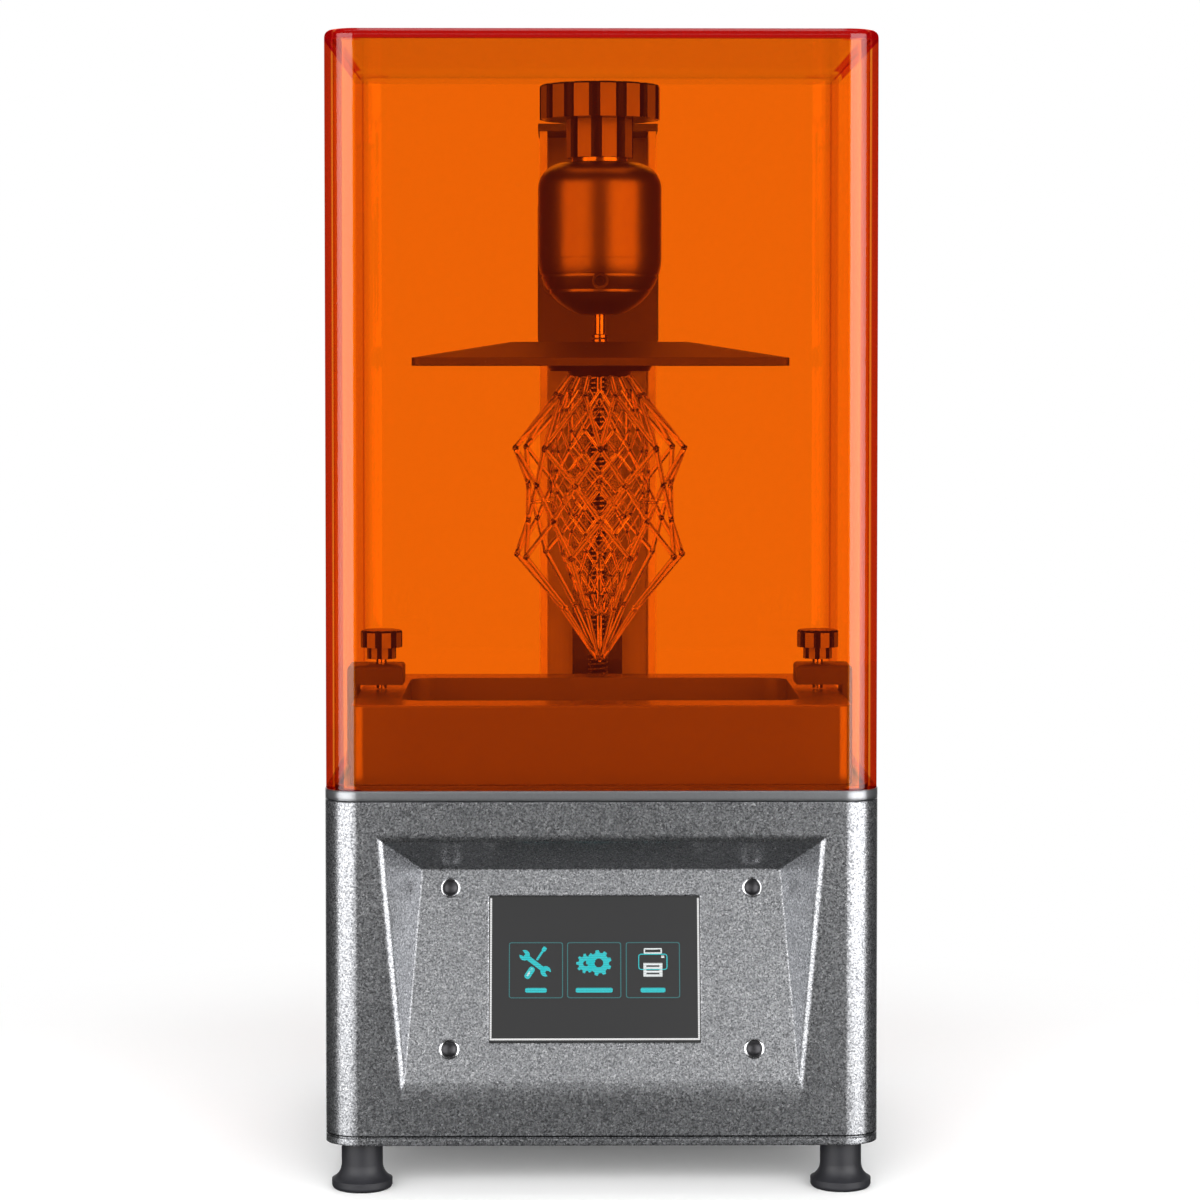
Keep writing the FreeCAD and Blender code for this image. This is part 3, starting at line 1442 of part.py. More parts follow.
def rear_panel():
    """Plate behind the rear opening with the fan grille and the connectors' holes."""
    plate = rounded_block(rear_w, rear_h, rear_lap / 2, 0, rear_t)
    plate = plate.cut(Part.makeCompound(rear_cutouts()))
    panel = facing_back(plate, Vector(0, rear_plate_y, rear_z))
    y0 = rear_plate_y - through
    y1 = rear_plate_y + rear_t + through
    panel = panel.cut(box(-port_x - inlet_w / 2, -port_x + inlet_w / 2, y0, y1,
                          inlet_z - inlet_h / 2, inlet_z + inlet_h / 2))
    panel = panel.cut(box(port_x - usb_w / 2, port_x + usb_w / 2, y0, y1,
                          usb_z - usb_h / 2, usb_z + usb_h / 2))
    panel = panel.cut(box(-port_x - switch_frame_w / 2, -port_x + switch_frame_w / 2, y0, y1,
                          rocker_z - switch_frame_h / 2, rocker_z + switch_frame_h / 2))
    for x, z in rear_screw_places():
        panel = panel.cut(rod(screw_r, Vector(x, y0, z), Y_AXIS, y1 - y0))
    for x, z in rear_fan_screw_places():
        panel = panel.cut(rod(screw_r, Vector(x, y0, z), Y_AXIS, y1 - y0))
    return panel


def rear_fan_screw_places():
    """Corners of the rear fan's screws."""
    hole = rear_fan_size / 2 - fan_hole_inset
    return [(sx * hole, rear_z + sz * hole) for sx in (-1, 1) for sz in (-1, 1)]


def rear_screws():
    """Flush screws of the rear panel, and the fan's screws with heads in the recess."""
    panel_screw = countersunk_screw(screw_r, wall + 2 * rear_t, screw_head_r, wall)
    fan_screw = cap_screw(screw_r, rear_t + rear_fan_t, screw_head_r, screw_head_h * 0.8)
    screws = []
    for x, z in rear_screw_places():
        screws.append(facing_back(panel_screw, Vector(x, half_d, z)))
    for x, z in rear_fan_screw_places():
        screws.append(facing_back(fan_screw, Vector(x, rear_plate_y + rear_t, z)))
    return screws


def rear_fan_place(shape):
    """Put a fan part against the rear panel, its open side inward."""
    return facing_front(shape, Vector(0, rear_plate_y, rear_z))


def power_inlet():
    """Barrel socket for the power lead, with its metal centre pin."""
    y1 = rear_plate_y + rear_t
    body = box(-port_x - inlet_w / 2, -port_x + inlet_w / 2, y1 - inlet_l, y1,
               inlet_z - inlet_h / 2, inlet_z + inlet_h / 2)
    bore_l = inlet_l - 3.0
    floor_y = y1 - bore_l
    body = body.cut(rod(inlet_r, Vector(-port_x, floor_y, inlet_z), Y_AXIS, bore_l + through))
    pin = rod(inlet_pin_r, Vector(-port_x, floor_y, inlet_z), Y_AXIS, bore_l - 1.0)
    return [body, pin]


def usb_port():
    """Metal shell of the data port with its tongue."""
    y1 = rear_plate_y + rear_t
    w = usb_w / 2
    h = usb_h / 2
    shell = box(port_x - w, port_x + w, y1 - usb_l, y1, usb_z - h, usb_z + h)
    floor_y = y1 - usb_l + 3.0
    shell = shell.cut(box(port_x - w + usb_wall, port_x + w - usb_wall, floor_y,
                          y1 + through, usb_z - h + usb_wall, usb_z + h - usb_wall))
    tongue = box(port_x - w + 2 * usb_wall, port_x + w - 2 * usb_wall, floor_y,
                 y1 - 1.0, usb_z, usb_z + usb_tongue_t)
    return [shell, tongue]


def switch_frame():
    """Bezel and body of the power switch."""
    y1 = rear_plate_y + rear_t
    w = switch_frame_w / 2
    h = switch_frame_h / 2
    body = box(-port_x - w, -port_x + w, y1 - switch_deep, y1, rocker_z - h, rocker_z + h)
    bezel = box(-port_x - w - switch_bezel, -port_x + w + switch_bezel, y1,
                y1 + switch_bezel_t, rocker_z - h - switch_bezel, rocker_z + h + switch_bezel)
    frame = join([body, bezel])
    inner_w = rocker_half_w() + rocker_gap
    inner_h = rocker_half_h() + rocker_gap
    frame = frame.cut(box(-port_x - inner_w, -port_x + inner_w,
                          y1 - switch_deep + 2.0, y1 + switch_bezel_t + through,
                          rocker_z - inner_h, rocker_z + inner_h))
    return frame.cut(rod(rocker_pin_r + bore_gap,
                         Vector(-port_x - inner_w - switch_bezel / 2, rocker_pivot_y(),
                                rocker_z),
                         X_AXIS, 2 * inner_w + switch_bezel))


def rocker_half_w():
    """Half the rocker's width."""
    return switch_frame_w / 2 - 1.8


def rocker_half_h():
    """Half the rocker's height."""
    return switch_frame_h / 2 - 1.8


def rocker_pivot_y():
    """Depth of the rocker's pivot."""
    return rear_plate_y + rear_t - 3.5


def switch_rocker():
    """Rocker at its middle place: two faces that fall away from a centre line, on a pin."""
    y1 = rear_plate_y + rear_t + switch_bezel_t
    w = rocker_half_w()
    h = rocker_half_h()
    pivot = rocker_pivot_y()
    back = pivot - rocker_pin_r - 1.2
    # the far corners lie on a circle about the pivot, so the rocker swings inside its frame
    outline = [Vector(0, y1 - 1.2, h), Vector(0, y1 - 0.4, 0), Vector(0, y1 - 1.2, -h),
               Vector(0, pivot, -h), Vector(0, back, -h / 3), Vector(0, back, h / 3),
               Vector(0, pivot, h)]
    face = Part.Face(Part.makePolygon(outline + [outline[0]]))
    rocker = face.extrude(Vector(2 * w, 0, 0))
    rocker.translate(Vector(-w, 0, 0))
    pin = rod(rocker_pin_r, Vector(-w - rocker_gap - switch_bezel / 2 + bore_gap, pivot, 0),
              X_AXIS, 2 * (w + rocker_gap + switch_bezel / 2 - bore_gap))
    rocker = join([rocker, pin])
    rocker.translate(Vector(-port_x, 0, rocker_z))
    return rocker


# ================================================================ all nodes
def build():
    """Every node by name: one solid, or a list of separate solids."""
    left_clamp = vat_clamp()
    left_stud = vat_stud()
    left_knob = vat_knob()
    return {
        "lower_housing": lower_housing(),
        "bottom_plate": bottom_plate(),
        "rubber_feet": rubber_feet(),
        "foot_screws": foot_screws(),
        "deck_plate": deck_plate(),
        "deck_screws": deck_screws(),
        "lcd_panel": lcd_panel(),
        "touch_screen": touch_screen(),
        "fascia_screws": fascia_screws(),
        "vat_clamp_left": left_clamp,
        "vat_clamp_right": mirrored(left_clamp),
        "clamp_screws": clamp_screws(),
        "column": column(),
        "column_cap": column_cap(),
        "guide_rail": guide_rail(),
        "column_screws": column_screws(),
        "z_motor_mount": z_motor_mount(),
        "z_motor": z_motor(),
        "motor_screws": motor_screws(),
        "z_home_switch": z_home_switch(),
        "lamp_fan_frame": lamp_fan_place(fan_frame(lamp_fan_size, lamp_fan_t)),
        "lamp_heatsink": lamp_heatsink(),
        "lamp_board": lamp_board(),
        "lamp_hood": lamp_hood(),
        "main_board": main_board(),
        "board_standoffs": board_standoffs(),
        "rear_panel": rear_panel(),
        "rear_screws": rear_screws(),
        "rear_fan_frame": rear_fan_place(fan_frame(rear_fan_size, rear_fan_t)),
        "power_inlet": power_inlet(),
        "usb_port": usb_port(),
        "switch_frame": switch_frame(),
        "clear_cover": clear_cover(),
        "motor_shaft": motor_shaft(),
        "shaft_coupler": shaft_coupler(),
        "lead_screw": lead_screw(),
        "carriage_plate": carriage_plate(),
        "guide_block": guide_block(),
        "lead_nut": lead_nut(),
        "head_casting": head_casting(),
        "arm_screws": arm_screws(),
        "socket_cup": socket_cup(),
        "ball_lock_screw": ball_lock_screw(),
        "head_stud": head_stud(),
        "head_knob": head_knob(),
        "ball_liner": ball_liner(),
        "ball_stud": ball_stud(),
        "build_plate": build_plate(),
        "sample_print": sample_print(),
        "vat_body": vat_body(),
        "vat_film": vat_film(),
        "film_frame": film_frame(),
        "film_frame_screws": film_frame_screws(),
        "vat_stud_left": left_stud,
        "vat_stud_right": mirrored(left_stud),
        "vat_knob_left": left_knob,
        "vat_knob_right": mirrored(left_knob),
        "switch_rocker": switch_rocker(),
        "rear_fan_rotor": rear_fan_place(fan_rotor(rear_fan_size, rear_fan_t)),
        "lamp_fan_rotor": lamp_fan_place(fan_rotor(lamp_fan_size, lamp_fan_t)),
    }


os.makedirs("parts", exist_ok=True)
for name, made in build().items():
    shape = Part.makeCompound(made) if isinstance(made, list) else made
    shape.exportStep(os.path.join("parts", name + ".step"))
    solids = shape.Solids
    print(name, len(solids), round(sum(s.Volume for s in solids) / 1000.0, 2), shape.isValid())
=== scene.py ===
import math

import bmesh
import bpy
from mathutils import Matrix, Vector


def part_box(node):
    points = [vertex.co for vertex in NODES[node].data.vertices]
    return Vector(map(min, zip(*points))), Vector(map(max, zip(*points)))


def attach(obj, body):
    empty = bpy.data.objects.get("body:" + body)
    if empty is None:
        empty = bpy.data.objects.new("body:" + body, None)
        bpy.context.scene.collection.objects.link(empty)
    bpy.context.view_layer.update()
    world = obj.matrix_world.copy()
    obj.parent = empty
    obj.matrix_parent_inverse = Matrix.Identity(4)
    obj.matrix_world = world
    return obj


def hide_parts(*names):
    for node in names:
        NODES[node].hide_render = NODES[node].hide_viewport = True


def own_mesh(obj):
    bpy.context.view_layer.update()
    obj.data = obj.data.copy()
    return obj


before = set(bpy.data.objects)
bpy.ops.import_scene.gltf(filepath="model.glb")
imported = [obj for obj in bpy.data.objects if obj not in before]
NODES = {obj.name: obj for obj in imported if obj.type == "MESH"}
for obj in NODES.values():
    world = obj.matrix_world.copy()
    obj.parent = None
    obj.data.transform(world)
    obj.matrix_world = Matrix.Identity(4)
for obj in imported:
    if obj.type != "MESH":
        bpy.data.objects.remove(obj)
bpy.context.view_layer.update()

MM = 0.001


# ---------------------------------------------------------------- studio
# A pale floor under a white backdrop. Two wide soft boxes light the printer from the left and
# the right of the camera, and weaker ones from in front, above and behind fill the shadows.
def linear(hex_code):
    """An sRGB hex colour as linear RGBA."""
    parts = [int(hex_code[i:i + 2], 16) / 255 for i in (0, 2, 4)]
    return [p / 12.92 if p <= 0.04045 else ((p + 0.055) / 1.055) ** 2.4 for p in parts] + [1.0]


def add(tree, kind, inputs=None, **settings):
    """Add a node. An input takes a value, a node's output, or a node for its first output."""
    made = tree.nodes.new("ShaderNode" + kind)
    for name, value in settings.items():
        setattr(made, name, value)
    for name, value in (inputs or {}).items():
        if isinstance(value, bpy.types.Node):
            value = next(output for output in value.outputs if output.enabled)
        if isinstance(value, bpy.types.NodeSocket):
            tree.links.new(value, made.inputs[name])
        else:
            made.inputs[name].default_value = value
    return made


def new_material(name):
    """An empty material: the material, its tree, and its object coordinates."""
    material = bpy.data.materials.new(name)
    material.use_nodes = True
    tree = material.node_tree
    tree.nodes.clear()
    place = add(tree, "TexCoord").outputs["Object"]
    return material, tree, place


def surface(tree, shader):
    """End a material in its shader."""
    add(tree, "OutputMaterial", {"Surface": shader})


def new_piece(name, mesh_builder, material, body, replaces=()):
    """Turn a bmesh into a finished piece that rides on a body."""
    mesh = bpy.data.meshes.new(name)
    mesh_builder.to_mesh(mesh)
    mesh_builder.free()
    piece = bpy.data.objects.new(name, mesh)
    bpy.context.scene.collection.objects.link(piece)
    mesh.materials.append(material)
    if replaces:
        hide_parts(*replaces)
    if body:
        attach(piece, body)
    return piece


FLOOR_SIZE = 12.0
FLOOR_SHADOW_REACH = 0.24
FLOOR_WHITE_FROM = 0.42
FLOOR_FILL = 0.10

floor_white, tree, place = new_material("matt white paper floor")
flat = add(tree, "Mapping", {"Vector": place, "Scale": (1.0, 1.0, 0.0)})
reach = add(tree, "VectorMath", {0: flat}, operation="LENGTH")
away = add(tree, "MapRange", {"Value": reach, "From Min": FLOOR_SHADOW_REACH,
                              "From Max": FLOOR_WHITE_FROM}, interpolation_type="SMOOTHSTEP")
matt = add(tree, "BsdfDiffuse", {"Color": linear("f4f4f4")})
fill = add(tree, "Emission", {"Color": linear("ffffff"), "Strength": FLOOR_FILL})
paper = add(tree, "AddShader", {0: matt, 1: fill})
lit_paper = add(tree, "Emission", {"Color": linear("ffffff"), "Strength": 1.0})
shown = add(tree, "MixShader", {0: away, 1: paper, 2: lit_paper})
bounce = add(tree, "BsdfDiffuse", {"Color": linear("8c8c8c")})
rays = add(tree, "LightPath")
both = add(tree, "MixShader", {0: rays.outputs["Is Camera Ray"], 1: bounce, 2: shown})
surface(tree, both)

sheet = bmesh.new()
bmesh.ops.create_grid(sheet, x_segments=1, y_segments=1, size=FLOOR_SIZE / 2)
floor = new_piece("floor", sheet, floor_white, None)
floor.visible_glossy = False
floor.visible_shadow = False
floor.visible_transmission = False

BACKDROP = 1.0
AMBIENT = 0.05
DARK_FRONT = 0.05
BELOW_DARK = 0.10

world = bpy.data.worlds.new("studio")
bpy.context.scene.world = world
world.use_nodes = True
tree = world.node_tree
tree.nodes.clear()
rays = add(tree, "LightPath")
heading = add(tree, "SeparateXYZ", {0: add(tree, "TexCoord").outputs["Generated"]})
behind = add(tree, "MapRange", {"Value": heading.outputs["Y"], "From Min": 0.86,
                                "From Max": 0.96})
bent = add(tree, "MapRange", {"Value": heading.outputs["Y"], "From Min": 0.0, "From Max": 0.55})
seen_bent = add(tree, "Math", {0: rays.outputs["Is Transmission Ray"], 1: bent},
                operation="MULTIPLY")
white = add(tree, "Math", {0: rays.outputs["Is Camera Ray"], 1: behind}, operation="MAXIMUM")
white = add(tree, "Math", {0: white, 1: seen_bent}, operation="MAXIMUM")
room = add(tree, "MapRange", {"Value": heading.outputs["Y"], "From Min": -0.95, "From Max": -0.45,
                              "To Min": DARK_FRONT, "To Max": AMBIENT})
below = add(tree, "MapRange", {"Value": heading.outputs["Z"], "From Min": -0.45,
                               "From Max": -0.10, "To Min": BELOW_DARK, "To Max": 1.0})
room = add(tree, "Math", {0: room, 1: below}, operation="MULTIPLY")
level = add(tree, "MapRange", {"Value": white, "To Min": room, "To Max": BACKDROP})
sky = add(tree, "Background", {"Color": linear("ffffff"), "Strength": level})
add(tree, "OutputWorld", {"Surface": sky})
bpy.context.scene.view_settings.view_transform = "Standard"

LAMPS_AIM = Vector((0, 0, 0.2))


def soft_box(name, place_at, width, height, power):
    """A rectangular lamp that faces the printer, in metres and watts."""
    lamp = bpy.data.lights.new(name, "AREA")
    lamp.shape = "RECTANGLE"
    lamp.size = width
    lamp.size_y = height
    lamp.energy = power
    holder = bpy.data.objects.new(name, lamp)
    bpy.context.scene.collection.objects.link(holder)
    holder.location = place_at
    holder.rotation_euler = (LAMPS_AIM - place_at).to_track_quat("-Z", "Y").to_euler()
    holder.visible_camera = False
    return holder


SIDE_LAMP_TURN = math.radians(44)
SIDE_LAMP_FAR = 1.5
SIDE_LAMP_Z = 0.36
for name, side, power in (("lamp_left", -1, 22.0), ("lamp_right", 1, 26.0)):
    at = Vector((side * SIDE_LAMP_FAR * math.sin(SIDE_LAMP_TURN),
                 -SIDE_LAMP_FAR * math.cos(SIDE_LAMP_TURN), SIDE_LAMP_Z))
    soft_box(name, at, width=1.55, height=1.4, power=power)
soft_box("lamp_high_front", Vector((0, -3.1, 1.0)), width=1.2, height=0.4, power=1.8)
fill_lamp = soft_box("lamp_fill", Vector((0, -1.9, 0.75)), width=1.8, height=1.0, power=45.0)
fill_lamp.visible_glossy = False
fill_lamp.visible_transmission = False
soft_box("lamp_above", Vector((0, 0.1, 1.7)), width=1.6, height=1.2, power=10.0)
soft_box("lamp_behind", Vector((0, 1.4, 1.2)), width=1.4, height=0.7, power=10.0)

CAMERA_AT = (-0.0127, -1.286, 0.2965)
CAMERA_PITCH = math.radians(88.0)
CAMERA_YAW = math.radians(-0.58)
FOCAL_LENGTH = 99.6
SENSOR_WIDTH = 36.0
LENS_SHIFT = -0.0939
NEAREST = 0.05

camera = bpy.data.cameras.new("camera")
camera.lens = FOCAL_LENGTH
camera.sensor_width = SENSOR_WIDTH
camera.shift_y = LENS_SHIFT
camera.clip_start = NEAREST
camera_holder = bpy.data.objects.new("camera", camera)
bpy.context.scene.collection.objects.link(camera_holder)
camera_holder.location = CAMERA_AT
camera_holder.rotation_euler = (CAMERA_PITCH, 0, CAMERA_YAW)
bpy.context.scene.camera = camera_holder


# ---------------------------------------------------------------- painted housing
# Folded sheet steel, powder-coated in grey metallic. Its aluminium flakes give a fine grain of
# light and dark, under a coat smooth enough for soft bands of light on the round corners. The
# real grain is 0.3 mm and is drawn twice as coarse, so that it shows. A thin near-black band
# along the joint with the bottom plate is painted shadow in the gap.
def finish_nodes(material, *names):
    """Give CAD pieces, which keep their own shape, their material."""
    for name in names:
        for slot in NODES[name].material_slots:
            slot.material = material


GRAIN = 0.6 * MM
FLAKE = 0.5 * MM
JOINT_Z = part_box("bottom_plate")[1].z
JOINT_SHADE = 0.5 * MM
FOLD_R = 0.9 * MM
DECK_FOLD_R = 1.6 * MM

fleck_paint, tree, place = new_material("grey metallic powder coat")
grain = add(tree, "TexNoise", {"Vector": place, "Scale": 1 / GRAIN, "Detail": 1.5,
                               "Roughness": 0.5})
flakes = add(tree, "TexVoronoi", {"Vector": place, "Scale": 1 / FLAKE}, feature="F1")
one_flake = add(tree, "SeparateColor", {"Color": flakes.outputs["Color"]})
contrast = add(tree, "MapRange", {"Value": grain, "From Min": 0.32, "From Max": 0.68})
mottle = add(tree, "Mix", {0: contrast, 6: linear("646568"), 7: linear("bcbdc0")},
             data_type="RGBA")
glint = add(tree, "MapRange", {"Value": one_flake, "From Min": 0.84, "To Max": 0.6})
speckle = add(tree, "Mix", {0: glint, 6: mottle, 7: linear("f2f2f4")}, data_type="RGBA")
# Painted shadow: the paint turns near black within half a millimetre of the joint's height.
height = add(tree, "SeparateXYZ", {0: place})
off_joint = add(tree, "Math", {0: height.outputs["Z"], 1: JOINT_Z}, operation="SUBTRACT")
off_joint = add(tree, "Math", {0: off_joint}, operation="ABSOLUTE")
clear_of_painted_joint_shadow = add(tree, "MapRange", {"Value": off_joint, "From Min": JOINT_SHADE * 0.5,
                                  "From Max": JOINT_SHADE})
coat = add(tree, "Mix", {0: clear_of_painted_joint_shadow, 6: linear("121213"), 7: speckle}, data_type="RGBA")
gloss = add(tree, "MapRange", {"Value": one_flake.outputs[1], "To Min": 0.24, "To Max": 0.34})
peel = add(tree, "Bump", {"Height": grain, "Strength": 0.05, "Distance": 0.05 * MM})
folded = add(tree, "Bevel", {"Radius": FOLD_R, "Normal": peel}, samples=4)
paint = add(tree, "BsdfPrincipled", {"Base Color": coat, "Metallic": 0.95, "Roughness": gloss,
                                     "Normal": folded})
surface(tree, paint)
finish_nodes(fleck_paint, "lower_housing", "bottom_plate", "rear_panel")

smooth_paint, tree, place = new_material("smooth satin grey metallic paint")
cloud = add(tree, "TexNoise", {"Vector": place, "Scale": 1 / GRAIN, "Detail": 2.0})
tone = add(tree, "Mix", {0: cloud, 6: linear("8e8f92"), 7: linear("a4a5a8")}, data_type="RGBA")
folded = add(tree, "Bevel", {"Radius": DECK_FOLD_R}, samples=4)
paint = add(tree, "BsdfPrincipled", {"Base Color": tone, "Metallic": 0.9, "Roughness": 0.28,
                                     "Normal": folded})
surface(tree, paint)
finish_nodes(smooth_paint, "deck_plate")


# ---------------------------------------------------------------- feet
# Four moulded rubber feet, one screwed on under each corner. Soft matt rubber, with the fine
# texture of the mould and a film of dust in patches.
black_rubber, tree, place = new_material("moulded black rubber")
skin = add(tree, "TexNoise", {"Vector": place, "Scale": 1 / (0.35 * MM), "Detail": 3.0})
dust = add(tree, "TexNoise", {"Vector": place, "Scale": 1 / (9 * MM), "Detail": 4.0})
tone = add(tree, "Mix", {0: dust, 6: linear("151518"), 7: linear("29292d")}, data_type="RGBA")
bump = add(tree, "Bump", {"Height": skin, "Strength": 0.3, "Distance": 0.04 * MM})
rough = add(tree, "MapRange", {"Value": dust, "To Min": 0.42, "To Max": 0.62})
rubber = add(tree, "BsdfPrincipled", {"Base Color": tone, "IOR": 1.52, "Roughness": rough,
                                      "Normal": bump})
surface(tree, rubber)
finish_nodes(black_rubber, "rubber_feet")


# ---------------------------------------------------------------- screws
# Black-oxide steel screws hold every bolted joint. The oxide is thin and dark, with a slight
# oily sheen that varies in patches.
black_oxide, tree, place = new_material("black oxide steel")
patch = add(tree, "TexNoise", {"Vector": place, "Scale": 1 / (1.2 * MM), "Detail": 4.0})
tone = add(tree, "Mix", {0: patch, 6: linear("2a2a2d"), 7: linear("4c4b4d")}, data_type="RGBA")
rough = add(tree, "MapRange", {"Value": patch, "To Min": 0.26, "To Max": 0.46})
steel = add(tree, "BsdfPrincipled", {"Base Color": tone, "Metallic": 0.85, "Roughness": rough})
surface(tree, steel)
finish_nodes(black_oxide, "foot_screws", "deck_screws", "clamp_screws",
             "column_screws", "motor_screws", "rear_screws", "arm_screws", "ball_lock_screw",
             "film_frame_screws")


# ---------------------------------------------------------------- masking screen
# Bare liquid crystal panel, bonded flush into the deck. It is very dark glass, with the fine
# matrix of its cells showing faintly through.
CELL = 0.35 * MM

mask_glass, tree, place = new_material("liquid crystal panel glass")
matrix = add(tree, "TexBrick", {"Vector": place, "Scale": 1.0, "Color1": linear("0b0c12"),
                                "Color2": linear("10121a"), "Mortar": linear("05050a"),
                                "Mortar Size": CELL * 0.12, "Brick Width": CELL,
                                "Row Height": CELL}, offset=0.0)
glass = add(tree, "BsdfPrincipled", {"Base Color": matrix.outputs["Color"], "IOR": 1.52,
                                     "Roughness": 0.06, "Coat Weight": 0.4,
                                     "Coat Roughness": 0.03})
surface(tree, glass)
finish_nodes(mask_glass, "lcd_panel")


# ---------------------------------------------------------------- touch display
# Flat touch screen set flush in the sloping panel: dark glass over a faintly glowing menu. A
# pale line glows down both sides and along the foot: painted light along the window's edge.
# The menu has three framed tiles, each a plain symbol above a bar that stands where a word
# would be.
SCREEN_W = 76.0 * MM
SCREEN_H = 52.4 * MM
PANEL_SETBACK = 20.0 * MM
PANEL_RISE = 77.0 * MM
PANEL_TILT = math.atan2(PANEL_SETBACK, PANEL_RISE)
SCREEN_CELL = 0.16 * MM
LIT_EDGE_LINE = 0.7 * MM
MARK_RISE = 0.06 * MM
GLASS_RISE = 0.12 * MM
FACE_SLACK = 0.01 * MM

screen_out = Vector((0, -math.cos(PANEL_TILT), math.sin(PANEL_TILT)))
screen_points = [v.co for v in NODES["touch_screen"].data.vertices]
screen_level = max(point.dot(screen_out) for point in screen_points)
screen_face = [point for point in screen_points
               if point.dot(screen_out) > screen_level - FACE_SLACK]
screen_at = sum(screen_face, Vector()) / len(screen_face)
on_panel = (Matrix.Translation(screen_at)
            @ Matrix.Rotation(math.pi / 2 - PANEL_TILT, 4, "X"))
on_glass = on_panel @ Matrix.Translation((0, 0, GLASS_RISE))

touch_glass, tree, place = new_material("touch screen glass over a dim picture")
grid = add(tree, "TexBrick", {"Vector": place, "Scale": 1.0, "Color1": linear("3d3d3d"),
                              "Color2": linear("3f3f3f"), "Mortar": linear("383838"),
                              "Mortar Size": SCREEN_CELL * 0.1, "Brick Width": SCREEN_CELL,
                              "Row Height": SCREEN_CELL}, offset=0.0)
glass = add(tree, "BsdfPrincipled", {"Base Color": linear("0c0c0d"), "IOR": 1.5,
                                     "Roughness": 0.35, "Emission Strength": 0.26,
                                     "Emission Color": grid.outputs["Color"]})
surface(tree, glass)
finish_nodes(touch_glass, "touch_screen")


def flat_bar(shape, x, y, width, height, turn=0.0, corner=0.0):
    """A flat strip of the menu, in mm from the screen's middle, turned in degrees."""
    before = set(shape.faces)
    made = bmesh.ops.create_grid(shape, x_segments=1, y_segments=1, size=0.5)["verts"]
    bmesh.ops.scale(shape, vec=(width * MM, height * MM, 1), verts=made)
    if corner:
        bmesh.ops.bevel(shape, geom=made, offset=corner * MM, segments=3, profile=0.5,
                        affect="VERTICES", material=-1)
        made = list({v for f in shape.faces if f not in before for v in f.verts})
    bmesh.ops.rotate(shape, matrix=Matrix.Rotation(math.radians(turn), 3, "Z"), verts=made)
    bmesh.ops.translate(shape, vec=(x * MM, y * MM, 0), verts=made)
    return [f for f in shape.faces if f not in before]


def flat_frame(shape, x, y, width, height, corner, line):
    """An outlined rectangle of the menu, in mm, with round corners."""
    own = bmesh.new()
    inside = flat_bar(own, x, y, width, height, 0.0, corner)
    bmesh.ops.inset_region(own, faces=inside, thickness=line * MM, use_even_offset=True,
                           use_boundary=True)
    bmesh.ops.delete(own, geom=inside, context="FACES")
    ring = bpy.data.meshes.new("menu frame line")
    own.to_mesh(ring)
    own.free()
    shape.from_mesh(ring)


def flat_gear(shape, x, y, root, tip, hole, teeth):
    """A toothed wheel of the menu, in mm."""
    rim = bmesh.ops.create_circle(shape, segments=teeth * 8, radius=root * MM)["verts"]
    for i, v in enumerate(rim):
        if i % 8 < 4:
            v.co *= tip / root
    eye = bmesh.ops.create_circle(shape, segments=24, radius=hole * MM)["verts"]
    bmesh.ops.bridge_loops(shape, edges=list({e for v in rim + eye for e in v.link_edges}))
    bmesh.ops.translate(shape, vec=(x * MM, y * MM, 0), verts=rim + eye)


def flat_jaw(shape, x, y, radius, turn):
    """The open jaw of a spanner: a disc with a notch on one side, turned in degrees."""
    rim = bmesh.ops.create_circle(shape, segments=24, radius=radius * MM)["verts"]
    for v in rim:
        if abs(v.co.x) < radius * MM * 0.45 and v.co.y > 0:
            v.co.y = radius * MM * 0.05
    bmesh.ops.edgeloop_fill(shape, edges=list({e for v in rim for e in v.link_edges}))
    bmesh.ops.rotate(shape, matrix=Matrix.Rotation(math.radians(turn), 3, "Z"), verts=rim)
    bmesh.ops.translate(shape, vec=(x * MM, y * MM, 0), verts=rim)


def lay_on(shape, at, rise):
    """Give flat marks a thickness and lay them on the sloping panel."""
    shape.normal_update()
    bmesh.ops.reverse_faces(shape, faces=[f for f in shape.faces if f.normal.z < 0])
    bmesh.ops.triangulate(shape, faces=shape.faces)
    bmesh.ops.solidify(shape, geom=shape.faces, thickness=-rise)
    bmesh.ops.recalc_face_normals(shape, faces=shape.faces)
    bmesh.ops.transform(shape, matrix=at, verts=shape.verts)


def lit_marks(name, shape, colour, strength):
    """Stand flat marks on the glass and light them in one colour."""
    lay_on(shape, on_glass, MARK_RISE)
    glow, tree, place = new_material("lit picture marks, " + name)
    grid = add(tree, "TexBrick", {"Vector": place, "Scale": 1.0, "Color1": linear(colour),
                                  "Color2": linear(colour), "Mortar": linear("202020"),
                                  "Mortar Size": SCREEN_CELL * 0.06, "Brick Width": SCREEN_CELL,
                                  "Row Height": SCREEN_CELL}, offset=0.0)
    lit = add(tree, "BsdfPrincipled", {"Base Color": linear("101010"), "Roughness": 0.35,
                                       "Emission Color": grid.outputs["Color"],
                                       "Emission Strength": strength})
    surface(tree, lit)
    new_piece(name, shape, glow, "base")


pane = bmesh.new()
flat_bar(pane, 0, 0, SCREEN_W / MM, (SCREEN_H - 2 * LIT_EDGE_LINE) / MM)
lay_on(pane, on_panel, GLASS_RISE)
new_piece("display_pane", pane, touch_glass, "base")

LIT_EDGE_INSET = 0.6
